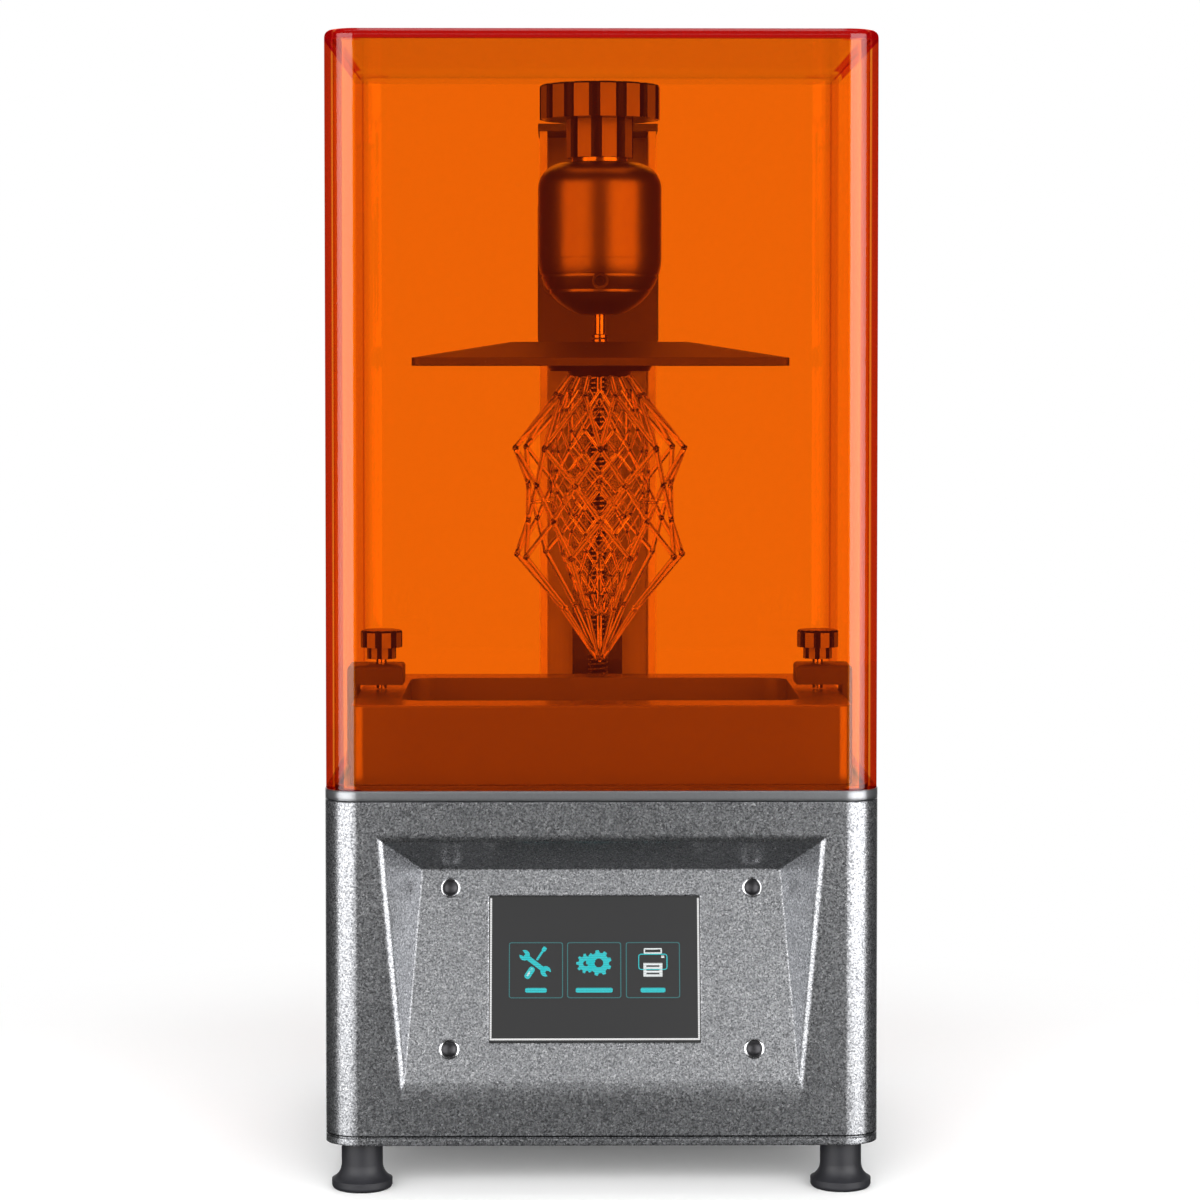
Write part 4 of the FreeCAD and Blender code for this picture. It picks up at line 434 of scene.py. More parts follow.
# The pale line round the screen glows white: painted light along the edge of the screen's window.
lit_edge_line = bmesh.new()
for side in (-1, 1):
    flat_bar(lit_edge_line, side * (SCREEN_W - LIT_EDGE_LINE) / 2 / MM, 0, LIT_EDGE_LINE / MM,
             SCREEN_H / MM - 2 * LIT_EDGE_INSET)
flat_bar(lit_edge_line, 0, (LIT_EDGE_LINE - SCREEN_H) / 2 / MM + LIT_EDGE_INSET, SCREEN_W / MM, LIT_EDGE_LINE / MM)
lit_marks("display_lit_edge_line", lit_edge_line, "f4f4f4", 1.0)

TILES = ((-21.3, 7.8), (-0.2, 13.4), (21.1, 9.0))
tiles = bmesh.new()
symbols = bmesh.new()
for x, word_width in TILES:
    flat_frame(tiles, x, -0.45, 19.6, 20.1, 0.9, 0.3)
    flat_bar(symbols, x, -7.7, word_width, 1.7, 0.0, 0.6)
lit_marks("display_tiles", tiles, "2a8488", 0.9)

flat_bar(symbols, -21.6, 2.0, 1.7, 9.0, 53.0)
flat_jaw(symbols, -25.4, 4.9, 1.9, 53.0)
flat_jaw(symbols, -17.8, -0.9, 1.9, -127.0)
flat_bar(symbols, -19.7, 5.1, 0.8, 4.6, -34.0)
flat_bar(symbols, -18.3, 7.1, 1.5, 1.7, -34.0, 0.4)
flat_bar(symbols, -23.6, -1.4, 2.2, 4.8, -34.0, 0.9)
flat_gear(symbols, 1.5, 2.1, 3.7, 4.6, 1.6, 9)
flat_gear(symbols, -3.2, 1.9, 2.7, 3.5, 1.0, 9)
flat_frame(symbols, 21.1, 2.5, 10.6, 5.8, 1.0, 0.35)
lit_marks("display_symbols", symbols, "12d2d8", 1.0)

pages = bmesh.new()
flat_frame(pages, 21.1, 6.4, 6.6, 2.0, 0.3, 0.5)
for side in (-1, 1):
    flat_bar(pages, 21.1 + side * 2.9, -0.4, 1.1, 4.9)
for row in range(4):
    flat_bar(pages, 21.1, 1.65 - 1.37 * row, 4.8, 0.8)
flat_bar(pages, 24.7, 4.3, 1.1, 0.8)
flat_bar(pages, -23.6, -1.2, 0.6, 3.4, -34.0, 0.2)
lit_marks("display_pages", pages, "f4fafa", 1.0)


# ---------------------------------------------------------------- panel screws
# Four domed hexagon-socket screws in black oxide hold the sloping panel. Each sits in a bright
# turned cup washer let into the panel.
WASHER_R = 3.7 * MM
WASHER_WALL = 0.95 * MM
WASHER_RISE = 0.42 * MM
WASHER_SHOULDER = 0.30 * MM
DOME_RISE = 1.1 * MM
SAME_LEVEL = 0.05 * MM
PANEL_NEAR = 8.0 * MM


def brushed_tone(tree, place, grit, low, high, stretch=1.0):
    """Uneven tone of a worked metal face, stretched along Z for drawn or ground marks."""
    along = add(tree, "Mapping", {"Vector": place, "Scale": (1 / grit, 1 / grit,
                                                             1 / (grit * stretch))})
    marks = add(tree, "TexNoise", {"Vector": along, "Scale": 1.0, "Detail": 3.0,
                                   "Roughness": 0.6})
    tone = add(tree, "Mix", {0: marks, 6: linear(low), 7: linear(high)}, data_type="RGBA")
    return marks, tone


def worked_metal(name, grit, low, high, gloss, metallic, stretch=1.0, depth=0.02, edge=0.3):
    """A metal finish: grit and depth of its marks in mm, and the round of its edges in mm."""
    material, tree, place = new_material(name)
    marks, tone = brushed_tone(tree, place, grit * MM, low, high, stretch)
    rough = add(tree, "MapRange", {"Value": marks, "To Min": gloss[0], "To Max": gloss[1]})
    pit = add(tree, "Bump", {"Height": marks, "Strength": 0.15, "Distance": depth * MM})
    round_edge = add(tree, "Bevel", {"Radius": edge * MM, "Normal": pit}, samples=4)
    metal = add(tree, "BsdfPrincipled", {"Base Color": tone, "Metallic": metallic,
                                         "Roughness": rough, "Normal": round_edge})
    surface(tree, metal)
    return material


cups = bmesh.new()
domes = bmesh.new()
fascia_middle = sum(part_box("fascia_screws"), Vector()) / 2
fascia_points = [v.co for v in NODES["fascia_screws"].data.vertices]
housing_points = [v.co for v in NODES["lower_housing"].data.vertices]
for side_x in (-1, 1):
    for side_z in (-1, 1):
        heads = [q for q in fascia_points if (q.x - fascia_middle.x) * side_x > 0
                 and (q.z - fascia_middle.z) * side_z > 0]
        level = max(q.dot(screen_out) for q in heads)
        crown = [q for q in heads if q.dot(screen_out) > level - SAME_LEVEL]
        low = Vector([min(q[i] for q in crown) for i in range(3)])
        high = Vector([max(q[i] for q in crown) for i in range(3)])
        centre = (low + high) / 2
        around = [q.dot(screen_out) for q in housing_points
                  if (q - centre).length < PANEL_NEAR]
        panel_drop = centre.dot(screen_out) - max(around)
        stand = (Matrix.Translation(centre - screen_out * panel_drop)
                 @ Matrix.Rotation(math.pi / 2 - PANEL_TILT, 4, "X"))
        outline = [cups.verts.new((WASHER_R - WASHER_WALL * share, 0, up)) for share, up in (
            (1.0, 0.0), (0.75, WASHER_SHOULDER), (0.45, WASHER_RISE), (0.2, WASHER_SHOULDER),
            (0.0, 0.0))]
        lines = [cups.edges.new(pair) for pair in zip(outline, outline[1:])]
        bmesh.ops.spin(cups, geom=outline + lines, cent=(0, 0, 0), axis=(0, 0, 1),
                       angle=2 * math.pi, steps=32, use_merge=True)
        fresh = [v for v in cups.verts if v.co.length < 4 * WASHER_R]
        bmesh.ops.transform(cups, matrix=stand, verts=fresh)
        ball = bmesh.ops.create_uvsphere(domes, u_segments=24, v_segments=12, radius=1.0)["verts"]
        dome_r = WASHER_R - WASHER_WALL
        bmesh.ops.scale(domes, vec=(dome_r, dome_r, DOME_RISE), verts=ball)
        bmesh.ops.transform(domes, matrix=stand, verts=ball)
bmesh.ops.recalc_face_normals(cups, faces=cups.faces)

washer_plate = worked_metal("bright nickel-plated washer", 0.4, "d4d4d6", "ececee",
                            (0.14, 0.22), 1.0, edge=0.1)
new_piece("panel_screw_cups", cups, washer_plate, "base")
dome_piece = new_piece("panel_screw_domes", domes, black_oxide, "base",
                       ["fascia_screws"])
dome_piece.data.shade_smooth()


# ---------------------------------------------------------------- head, clamps, cap and vat
# Turned and milled aluminium, finely blasted and anodised black. It keeps a metal's bright
# soft bands where it faces a lamp and stays nearly black elsewhere.
black_anodised = worked_metal("finely blasted black anodised aluminium", 0.5, "868587", "939294",
                              (0.31, 0.37), 1.0)
finish_nodes(black_anodised, "head_casting", "socket_cup", "shaft_coupler")

matt_anodised = worked_metal("bead-blasted black anodised aluminium", 0.6, "4d4c4e", "5c5b5d",
                             (0.40, 0.52), 0.4)
finish_nodes(matt_anodised, "vat_clamp_left", "vat_clamp_right", "column_cap", "carriage_plate")

vat_anodised = worked_metal("satin anodised aluminium of the vat", 0.6, "8a898b", "989799",
                            (0.22, 0.28), 0.6)
finish_nodes(vat_anodised, "vat_body")


# ---------------------------------------------------------------- knobs
# Three turned knobs, anodised black, each with a wide grip over a narrow neck. Each land is
# coloured light grey as painted light, so that it reads as a lit face; the grooves stay black.
LAND_SHARE = 0.29
GROOVE_SHARE = 0.20
NECK_OVERLAP = 0.1 * MM
NECK_SHARE = 0.557
VAT_NECK_SHARE = 0.70

knob_black = worked_metal("deep black anodising in the grooves", 0.4, "0c0c0d", "161517",
                          (0.20, 0.30), 0.8, edge=0.2)
# The lands' light grey is painted light that stands in for lit faces of the black knob.
knob_land_painted_light = worked_metal("light grey lands painted as lit faces", 0.4, "7f7e7e", "908f8f",
                         (0.38, 0.48), 0.3, stretch=12.0, edge=0.1)


def knob_tier(shape, axis, radius, groove, low, high, lands, edge, turn):
    """A grooved ring of a knob in metres: flat lands, with square grooves cut between them."""
    before = set(shape.faces)
    rim = bmesh.ops.create_circle(shape, cap_ends=True, segments=lands * 4,
                                  radius=radius)["verts"]
    corners = ((-LAND_SHARE, 0.0), (LAND_SHARE, 0.0), (0.5 - GROOVE_SHARE / 2, groove),
               (0.5 + GROOVE_SHARE / 2, groove))
    for i, v in enumerate(rim):
        share, cut = corners[i % 4]
        angle = 2 * math.pi * (i // 4 + share) / lands + turn
        v.co = Vector(((radius - cut) * math.cos(angle), (radius - cut) * math.sin(angle), 0))
    face = [f for f in shape.faces if f not in before]
    raised = bmesh.ops.extrude_face_region(shape, geom=face)["geom"]
    top = [v for v in raised if isinstance(v, bmesh.types.BMVert)]
    bmesh.ops.translate(shape, vec=(0, 0, high - low), verts=top)
    if edge:
        crown = [e for e in raised if isinstance(e, bmesh.types.BMEdge)]
        bmesh.ops.bevel(shape, geom=crown, offset=edge, offset_type="OFFSET", segments=2,
                        profile=0.5, affect="EDGES", material=-1)
    fresh = [f for f in shape.faces if f not in before]
    land_r = radius * math.cos(2 * math.pi * LAND_SHARE / lands)
    bmesh.ops.translate(shape, vec=(axis.x, axis.y, low),
                        verts=list({v for f in fresh for v in f.verts}))
    bmesh.ops.recalc_face_normals(shape, faces=fresh)
    # Outward faces of the lands take the light grey painted light; all other faces stay black.
    for f in fresh:
        middle = f.calc_center_median() - Vector((axis.x, axis.y, 0))
        outward = Vector((middle.x, middle.y, 0)).normalized()
        f.material_index = int(f.normal.dot(outward) > 0.97
                               and Vector((middle.x, middle.y)).length > land_r - groove * 0.3)


def knob(name, node, body, grip_h, neck_share, lands, groove, edge, turns):
    """A knob in the space of its CAD node, grip over neck; lands and turns are for the two."""
    low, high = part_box(node)
    axis = (low + high) / 2
    radius = (high.x - low.x) / 2
    shape = bmesh.new()
    grip_z = high.z - grip_h
    knob_tier(shape, axis, radius, groove, grip_z, high.z, lands[0], edge,
              math.radians(turns[0]))
    knob_tier(shape, axis, radius * neck_share, groove, low.z, grip_z + NECK_OVERLAP, lands[1], 0,
              math.radians(turns[1]))
    piece = new_piece(name, shape, knob_black, body, [node])
    piece.data.materials.append(knob_land_painted_light)


knob("top_knob", "head_knob", "top_knob", grip_h=13.1 * MM, neck_share=NECK_SHARE,
     lands=(14, 8), groove=0.7 * MM, edge=0.8 * MM, turns=(-82.5, -73.5))
for side in ("left", "right"):
    knob("vat_knob_at_" + side, "vat_knob_" + side, side + "_knob", grip_h=6.6 * MM,
         neck_share=VAT_NECK_SHARE, lands=(8, 8), groove=0.5 * MM, edge=0.9 * MM,
         turns=(-73.0, -73.0))


# ---------------------------------------------------------------- column, heatsink and reflector
# Bare extruded aluminium, sawn to length and left with its mill finish. It has long fine die
# lines and a satin grey sheen.
mill_aluminium = worked_metal("extruded mill-finish aluminium", 0.5, "d2d2d4", "e8e8e9",
                              (0.36, 0.50), 0.25, stretch=80.0)
finish_nodes(mill_aluminium, "column", "lamp_heatsink", "lamp_hood")


# ---------------------------------------------------------------- ground and plated steel
# Rail, runner and shafts are ground bright along their length. Brackets, spacers and the
# port's shell are zinc-plated, duller and slightly blue.
ground_steel = worked_metal("ground bright steel", 0.4, "a9aaad", "cfd0d2", (0.14, 0.26), 1.0,
                            stretch=30.0, edge=0.15)
finish_nodes(ground_steel, "guide_rail", "guide_block", "head_stud",
             "vat_stud_left", "vat_stud_right", "motor_shaft", "film_frame")

zinc_plate = worked_metal("zinc-plated steel", 1.6, "8f949b", "b3b8bf", (0.30, 0.46), 1.0,
                          edge=0.15)
finish_nodes(zinc_plate, "usb_port", "z_motor_mount", "board_standoffs")

brass = worked_metal("machined brass", 0.4, "b08d45", "c9a75b", (0.22, 0.34), 1.0, edge=0.15)
finish_nodes(brass, "lead_nut")


# ---------------------------------------------------------------- ball stud
# One turned steel piece: a ball for the cup of the head, a straight neck below it, and two
# small rings where it is screwed into the build plate.
BALL_R = 9.0 * MM
NECK_R = 2.1 * MM
RING_R = 3.1 * MM
BALL_STEPS = 16
MERGE = 0.001 * MM

stud_low, stud_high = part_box("ball_stud")
stud_axis = (stud_low + stud_high) / 2
outline = ((0.0, 0.0), (RING_R, 0.0), (RING_R, 1.1), (NECK_R, 1.4), (RING_R, 1.7),
           (RING_R, 2.8), (NECK_R, 3.1))
ball_z = stud_high.z - BALL_R
neck_turn = math.asin(NECK_R / BALL_R)
points = [(r, stud_low.z + up * MM) for r, up in outline]
for i in range(BALL_STEPS + 1):
    turn = neck_turn + (math.pi - neck_turn) * i / BALL_STEPS
    points.append((BALL_R * math.sin(turn), ball_z - BALL_R * math.cos(turn)))
stud = bmesh.new()
corners = [stud.verts.new((stud_axis.x + r, stud_axis.y, up)) for r, up in points]
edges = [stud.edges.new(pair) for pair in zip(corners, corners[1:])]
bmesh.ops.spin(stud, geom=corners + edges, cent=(stud_axis.x, stud_axis.y, 0), axis=(0, 0, 1),
               angle=2 * math.pi, steps=40, use_merge=True)
bmesh.ops.remove_doubles(stud, verts=stud.verts, dist=MERGE)
bmesh.ops.recalc_face_normals(stud, faces=stud.faces)
new_piece("ball_stud_turned", stud, ground_steel, "platform", ["ball_stud"])


# ---------------------------------------------------------------- lead screw
# Rolled trapezoidal screw of blackened steel, 8 mm across with a 2 mm pitch, single start and
# right-handed. The crests are worn bright by the nut.
PITCH = 2.0 * MM
CREST_R = 4.0 * MM
ROOT_R = 3.0 * MM
TURN_STEPS = 14
SPARE_TURNS = 2

screw_low, screw_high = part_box("lead_screw")
screw_axis = (screw_low + screw_high) / 2
turns = math.ceil((screw_high.z - screw_low.z) / PITCH) + SPARE_TURNS
thread = bmesh.new()
outline = [(ROOT_R, 0.0), (ROOT_R, 0.34), (CREST_R, 0.50), (CREST_R, 0.84), (ROOT_R, 1.0)]
points = [thread.verts.new((screw_axis.x + r, screw_axis.y, screw_low.z + (up - 1) * PITCH))
          for r, up in outline]
edges = [thread.edges.new(pair) for pair in zip(points, points[1:])]
bmesh.ops.spin(thread, geom=points + edges, cent=(screw_axis.x, screw_axis.y, 0), axis=(0, 0, 1),
               dvec=(0, 0, PITCH / TURN_STEPS), angle=2 * math.pi * turns,
               steps=TURN_STEPS * turns)
bmesh.ops.remove_doubles(thread, verts=thread.verts, dist=PITCH * 0.005)
for at_z, facing in ((screw_low.z, -1), (screw_high.z, 1)):
    cut = bmesh.ops.bisect_plane(thread, geom=thread.verts[:] + thread.edges[:] + thread.faces[:],
                                 plane_co=(0, 0, at_z), plane_no=(0, 0, facing), dist=1e-7,
                                 clear_outer=True)
    rim = [e for e in cut["geom_cut"] if isinstance(e, bmesh.types.BMEdge)]
    bmesh.ops.edgeloop_fill(thread, edges=rim)
bmesh.ops.recalc_face_normals(thread, faces=thread.faces)

thread_steel, tree, place = new_material("blackened rolled steel")
spot = add(tree, "SeparateXYZ", {0: place})
off_x = add(tree, "Math", {0: spot.outputs["X"], 1: screw_axis.x}, operation="SUBTRACT")
off_y = add(tree, "Math", {0: spot.outputs["Y"], 1: screw_axis.y}, operation="SUBTRACT")
flat = add(tree, "CombineXYZ", {"X": off_x, "Y": off_y})
radius = add(tree, "VectorMath", {0: flat}, operation="LENGTH")
crest = add(tree, "MapRange", {"Value": radius, "From Min": CREST_R * 0.93,
                               "From Max": CREST_R * 0.995})
oil = add(tree, "TexNoise", {"Vector": place, "Scale": 1 / (3 * MM), "Detail": 3.0})
dark = add(tree, "Mix", {0: oil, 6: linear("0e0e0f"), 7: linear("232325")}, data_type="RGBA")
tone = add(tree, "Mix", {0: crest, 6: dark, 7: linear("8d8c8a")}, data_type="RGBA")
steel = add(tree, "BsdfPrincipled", {"Base Color": tone, "Metallic": 0.9, "Roughness": 0.25})
surface(tree, steel)
new_piece("lead_screw_thread", thread, thread_steel, "z_screw", ["lead_screw"])


# ---------------------------------------------------------------- build plate
# Milled aluminium plate, coarsely blasted so that prints hold to it, then anodised grey. The
# grit leaves it matt, with soft edges.
blasted_plate = worked_metal("coarse-blasted grey anodised aluminium", 0.7, "4a494b", "5c5b5e",
                             (0.45, 0.6), 0.6, depth=0.06)
finish_nodes(blasted_plate, "build_plate")


# ---------------------------------------------------------------- cover
# One-piece hood of transparent orange acrylic, 3 mm thick, thermoformed with rounded upright
# edges. Each surface tints what is seen through it; the thick rounded edges go deep red.
COVER_WALL = 3.0 * MM
COVER_TOP = 3.3 * MM
COVER_CORNER = 12.0 * MM
COVER_EDGE = 2.5 * MM
COVER_SIDES = 10
CORNER_BLUR = 1.7 * MM
WALL_BLUR = 0.6 * MM
WALL_BACK = 0.4 * MM
RIM_BACK = 0.7 * MM
LID_BACK = 0.4 * MM
LID_BLUR = 0.15 * MM
RIM_ENDS = (70 * MM, 75 * MM)
REAR_FADE = 50 * MM
REAR_DEPTH = 0.25
MIRROR_MOST = 0.16
DYE_SHARE = 0.008

cover_low, cover_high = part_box("clear_cover")
corner_from = cover_high.x - COVER_CORNER
rim_from = cover_high.x - COVER_WALL - RIM_BACK
wall_from = cover_high.x - COVER_WALL - WALL_BACK
lid_from = cover_high.z - COVER_TOP - LID_BACK

orange_acrylic, tree, place = new_material("orange transparent cast acrylic")
spot = add(tree, "SeparateXYZ", {0: place})
out_x = add(tree, "Math", {0: spot.outputs["X"]}, operation="ABSOLUTE")
out_y = add(tree, "Math", {0: spot.outputs["Y"]}, operation="ABSOLUTE")
corner_in = add(tree, "Math", {0: out_x, 1: out_y}, operation="MINIMUM")
in_corner = add(tree, "MapRange", {"Value": corner_in, "From Min": corner_from - CORNER_BLUR,
                                   "From Max": corner_from})
on_top = add(tree, "MapRange", {"Value": spot.outputs["Z"], "From Min": lid_from,
                                "From Max": lid_from + LID_BLUR})
front = add(tree, "Math", {0: spot.outputs["Y"], 1: -1.0}, operation="MULTIPLY")
out_most = add(tree, "Math", {0: out_x, 1: front}, operation="MAXIMUM")
on_rim = add(tree, "MapRange", {"Value": out_most, "From Min": rim_from,
                                "From Max": rim_from + WALL_BLUR})
widest = add(tree, "Math", {0: out_x, 1: out_y}, operation="MAXIMUM")
in_wall = add(tree, "MapRange", {"Value": widest, "From Min": wall_from,
                                 "From Max": wall_from + WALL_BLUR})
near = add(tree, "MapRange", {"Value": spot.outputs["Y"], "From Min": RIM_ENDS[0],
                              "From Max": RIM_ENDS[1], "To Min": 1.0, "To Max": 0.0})
on_rim = add(tree, "Math", {0: on_rim, 1: near}, operation="MULTIPLY")
top_edge = add(tree, "Math", {0: on_top, 1: on_rim}, operation="MINIMUM")
grazing = add(tree, "LayerWeight", {"Blend": 0.5})
edge_on = add(tree, "MapRange", {"Value": grazing.outputs["Facing"], "From Min": 0.16,
                                 "From Max": 0.36})
steep = add(tree, "MapRange", {"Value": grazing.outputs["Facing"], "From Min": 0.27,
                               "From Max": 0.34})
fade = add(tree, "MapRange", {"Value": spot.outputs["Y"], "From Max": REAR_FADE, "To Min": 1.0,
                              "To Max": REAR_DEPTH})
geometry = add(tree, "NewGeometry")
from_outside = add(tree, "Math", {0: 1.0, 1: geometry.outputs["Backfacing"]},
                   operation="SUBTRACT")
shown = add(tree, "Math", {0: fade, 1: from_outside}, operation="MAXIMUM")
outer_corner = add(tree, "Math", {0: in_corner, 1: shown}, operation="MULTIPLY")
in_corner = add(tree, "Math", {0: in_corner, 1: fade}, operation="MULTIPLY")
deep = add(tree, "Math", {0: in_corner, 1: edge_on}, operation="MULTIPLY")
outer = add(tree, "Math", {0: in_wall, 1: steep}, operation="MULTIPLY")
outer = add(tree, "Math", {0: outer, 1: outer_corner}, operation="MULTIPLY")
slant = add(tree, "Math", {0: on_top, 1: edge_on}, operation="MULTIPLY")
rays = add(tree, "LightPath")
tint = add(tree, "Mix", {0: rays.outputs["Is Camera Ray"], 6: linear("fec43f"),
                         7: linear("fecf50")}, data_type="RGBA")
for where, colour in ((slant, "e9c64d"), (deep, "e79e86"), (outer, "b5353f"),
                      (top_edge, "c51638")):
    tint = add(tree, "Mix", {0: where, 6: tint, 7: linear(colour)}, data_type="RGBA")
through = add(tree, "BsdfTransparent", {"Color": tint})
sheen = add(tree, "Mix", {0: deep, 6: linear("fff4f8"), 7: linear("e8401c")}, data_type="RGBA")
shine = add(tree, "BsdfGlossy", {"Color": sheen, "Roughness": 0.04})
bounce = add(tree, "Fresnel", {"IOR": 1.56})
mirror = add(tree, "Math", {0: bounce, 1: MIRROR_MOST}, operation="MINIMUM")
clear = add(tree, "MixShader", {0: mirror, 1: through, 2: shine})
dye = add(tree, "BsdfDiffuse", {"Color": linear("ff2a00")})
acrylic = add(tree, "MixShader", {0: DYE_SHARE, 1: clear, 2: dye})
surface(tree, acrylic)


def hood_shell(low, high, corner, edge):
    """A box open at its foot, with round upright edges and a small round along its top edge."""
    block = bmesh.new()
    bmesh.ops.create_cube(block, size=1.0)
    centre = (low + high) / 2
    bmesh.ops.scale(block, vec=high - low, verts=block.verts)
    bmesh.ops.translate(block, vec=centre, verts=block.verts)
    upright = [e for e in block.edges if abs(e.verts[0].co.z - e.verts[1].co.z) > edge]
    bmesh.ops.bevel(block, geom=upright, offset=corner, offset_type="OFFSET",
                    segments=COVER_SIDES, profile=0.5, affect="EDGES", material=-1)
    if edge:
        top = [e for e in block.edges if all(v.co.z > high.z - 1e-6 for v in e.verts)
               and len(e.link_faces) == 2
               and any(abs(f.normal.z) < 0.5 for f in e.link_faces)]
        bmesh.ops.bevel(block, geom=top, offset=edge, offset_type="OFFSET", segments=4,
                        profile=0.5, affect="EDGES", material=-1)
    foot = [f for f in block.faces if f.normal.z < -0.9]
    bmesh.ops.delete(block, geom=foot, context="FACES")
    return block


def soften(piece, angle):
    """Smooth shading that stays crisp at edges sharper than an angle in degrees."""
    piece.data.shade_smooth()
    cut = math.radians(angle)
    shape = bmesh.new()
    shape.from_mesh(piece.data)
    for e in shape.edges:
        e.smooth = len(e.link_faces) == 2 and e.calc_face_angle() < cut
    shape.to_mesh(piece.data)
    shape.free()
    even = piece.modifiers.new("flat faces stay flat", "WEIGHTED_NORMAL")
    even.keep_sharp = True


hood = hood_shell(cover_low, cover_high, COVER_CORNER, COVER_EDGE)
inside = hood_shell(cover_low + Vector((COVER_WALL, COVER_WALL, 0)),
                    cover_high - Vector((COVER_WALL, COVER_WALL, COVER_TOP)),
                    COVER_CORNER - COVER_WALL, 0)
bmesh.ops.reverse_faces(inside, faces=inside.faces)
inner = bpy.data.meshes.new("cover_inside")
inside.to_mesh(inner)
inside.free()
hood.from_mesh(inner)
bmesh.ops.bridge_loops(hood, edges=[e for e in hood.edges if e.is_boundary])
cover = new_piece("tinted_cover", hood, orange_acrylic, "cover",
                  ["clear_cover"])
soften(cover, 40)


# ---------------------------------------------------------------- sample print
# A lantern of cured clear resin on a dark raft: nine outer bars round each ring cross in large
# diamonds, and a finer lattice stands inside them. Every bar is a straight round rod. Layers
# are drawn as bands a hundred times coarser than the real 0.05 mm, so that they show.
BARS_ROUND = 9
BAR_R = 0.95 * MM
FINE_R = 0.55 * MM
TIP_R = 0.5 * MM
TIP_DROP = 100 * MM
PLATE_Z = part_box("build_plate")[0].z
print_low, print_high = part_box("sample_print")
print_at = (print_low + print_high) / 2
OUTER_RINGS = [(12.0, 4.0, 0.5), (17.0, 11.0, 0.5), (32.6, 31.0, 0.0), (27.6, 45.0, 0.5),
               (27.6, 58.5, 0.0), (32.2, 72.0, 0.5), (14.8, 92.0, 0.5), (0.9, 111.8, 0.5)]
INNER_STEPS = 11
INNER_DROP, INNER_LENGTH = 9.0, 86.0
INNER_LEAST, INNER_BELLY = 3.0, 16.0
TIE_DROP, TIE_INNER, TIE_OUTER = 51.5, 18.5, 27.6
LAYER_BAND = 5.03 * MM
WAVE_RADIANS = 20
BAND_PHASE = 2 * math.pi / WAVE_RADIANS


def ring_points(radius, drop, count, shift):
    """Points evenly round the print's axis, at a drop below the build plate in mm."""
    found = []
    for i in range(count):
        turn = 2 * math.pi * (i + shift) / count
        found.append(Vector((print_at.x + radius * MM * math.sin(turn),
                             print_at.y - radius * MM * math.cos(turn), PLATE_Z - drop * MM)))
    return found


def bar(shape, start, end, radius, sides):
    """A straight round bar between two points."""
    along = end - start
    turn = along.to_track_quat("Z", "Y").to_matrix().to_4x4()
    bmesh.ops.create_cone(shape, cap_ends=True, segments=sides, radius1=radius, radius2=radius,
                          depth=along.length,
                          matrix=Matrix.Translation((start + end) / 2) @ turn)


def lattice(shape, rings, count, radius, sides, bead):
    """Bars from ring to ring, crossing wherever the next ring is turned by half a step."""
    for (r0, d0, s0), (r1, d1, s1) in zip(rings, rings[1:]):
        upper = ring_points(r0, d0, count, s0)
        lower = ring_points(r1, d1, count, s1)
        for i in range(count):
            for step in {0.0: (0,), 0.5: (0, 1), -0.5: (-1, 0)}[s0 - s1]:
                bar(shape, upper[i], lower[(i + step) % count], radius, sides)
    for r, d, turn in rings[1:-1]:
        for point in ring_points(r, d, count, turn):
            bmesh.ops.create_icosphere(shape, subdivisions=1, radius=radius * bead,
                                       matrix=Matrix.Translation(point))


lantern = bmesh.new()
lattice(lantern, OUTER_RINGS, BARS_ROUND, BAR_R, 8, 1.35)
fine = []
for i in range(INNER_STEPS + 1):
    share = i / INNER_STEPS
    fine.append((INNER_LEAST + INNER_BELLY * math.sin(math.pi * (0.16 + 0.84 * share)) ** 0.8,
                 INNER_DROP + INNER_LENGTH * share, 0.5 * (i % 2)))
lattice(lantern, fine, BARS_ROUND, FINE_R, 6, 1.3)
for ends in zip(ring_points(TIE_OUTER, TIE_DROP, BARS_ROUND, 0.25),
                ring_points(TIE_INNER, TIE_DROP, BARS_ROUND, 0.25)):
    bar(lantern, *ends, FINE_R, 6)
bar(lantern, Vector((print_at.x, print_at.y, PLATE_Z - TIP_DROP)),
    Vector((print_at.x, print_at.y, print_low.z)), TIP_R, 8)

clear_resin, tree, place = new_material("cured clear printing resin")
layers = add(tree, "TexWave", {"Vector": place, "Scale": BAND_PHASE / LAYER_BAND},
             bands_direction="Z")
bump = add(tree, "Bump", {"Height": layers.outputs["Fac"], "Strength": 0.1,
                          "Distance": 0.02 * MM})
glass = add(tree, "BsdfPrincipled", {"Base Color": linear("fffaf0"), "IOR": 1.42,
                                     "Transmission Weight": 1.0, "Roughness": 0.03,
                                     "Normal": bump})
surface(tree, glass)
lantern_piece = new_piece("lantern_bars", lantern, clear_resin, "platform",
                          ["sample_print"])
soften(lantern_piece, 50)

RAFT_TIERS = ((20.0, 0.0, 2.0), (12.5, 2.0, 4.0))
RAFT_TAPER = 1.0
raft = bmesh.new()
for radius, top, bottom in RAFT_TIERS:
    bmesh.ops.create_cone(raft, cap_ends=True, segments=48, radius1=(radius - RAFT_TAPER) * MM,
                          radius2=radius * MM, depth=(bottom - top) * MM,
                          matrix=Matrix.Translation((print_at.x, print_at.y,
                                                     PLATE_Z - (top + bottom) / 2 * MM)))
dark_resin, tree, place = new_material("thick cured resin raft")
haze = add(tree, "TexNoise", {"Vector": place, "Scale": 1 / (4 * MM), "Detail": 3.0})
tone = add(tree, "Mix", {0: haze, 6: linear("141210"), 7: linear("2a2622")}, data_type="RGBA")
slab = add(tree, "BsdfPrincipled", {"Base Color": tone, "IOR": 1.51, "Roughness": 0.3})
surface(tree, slab)
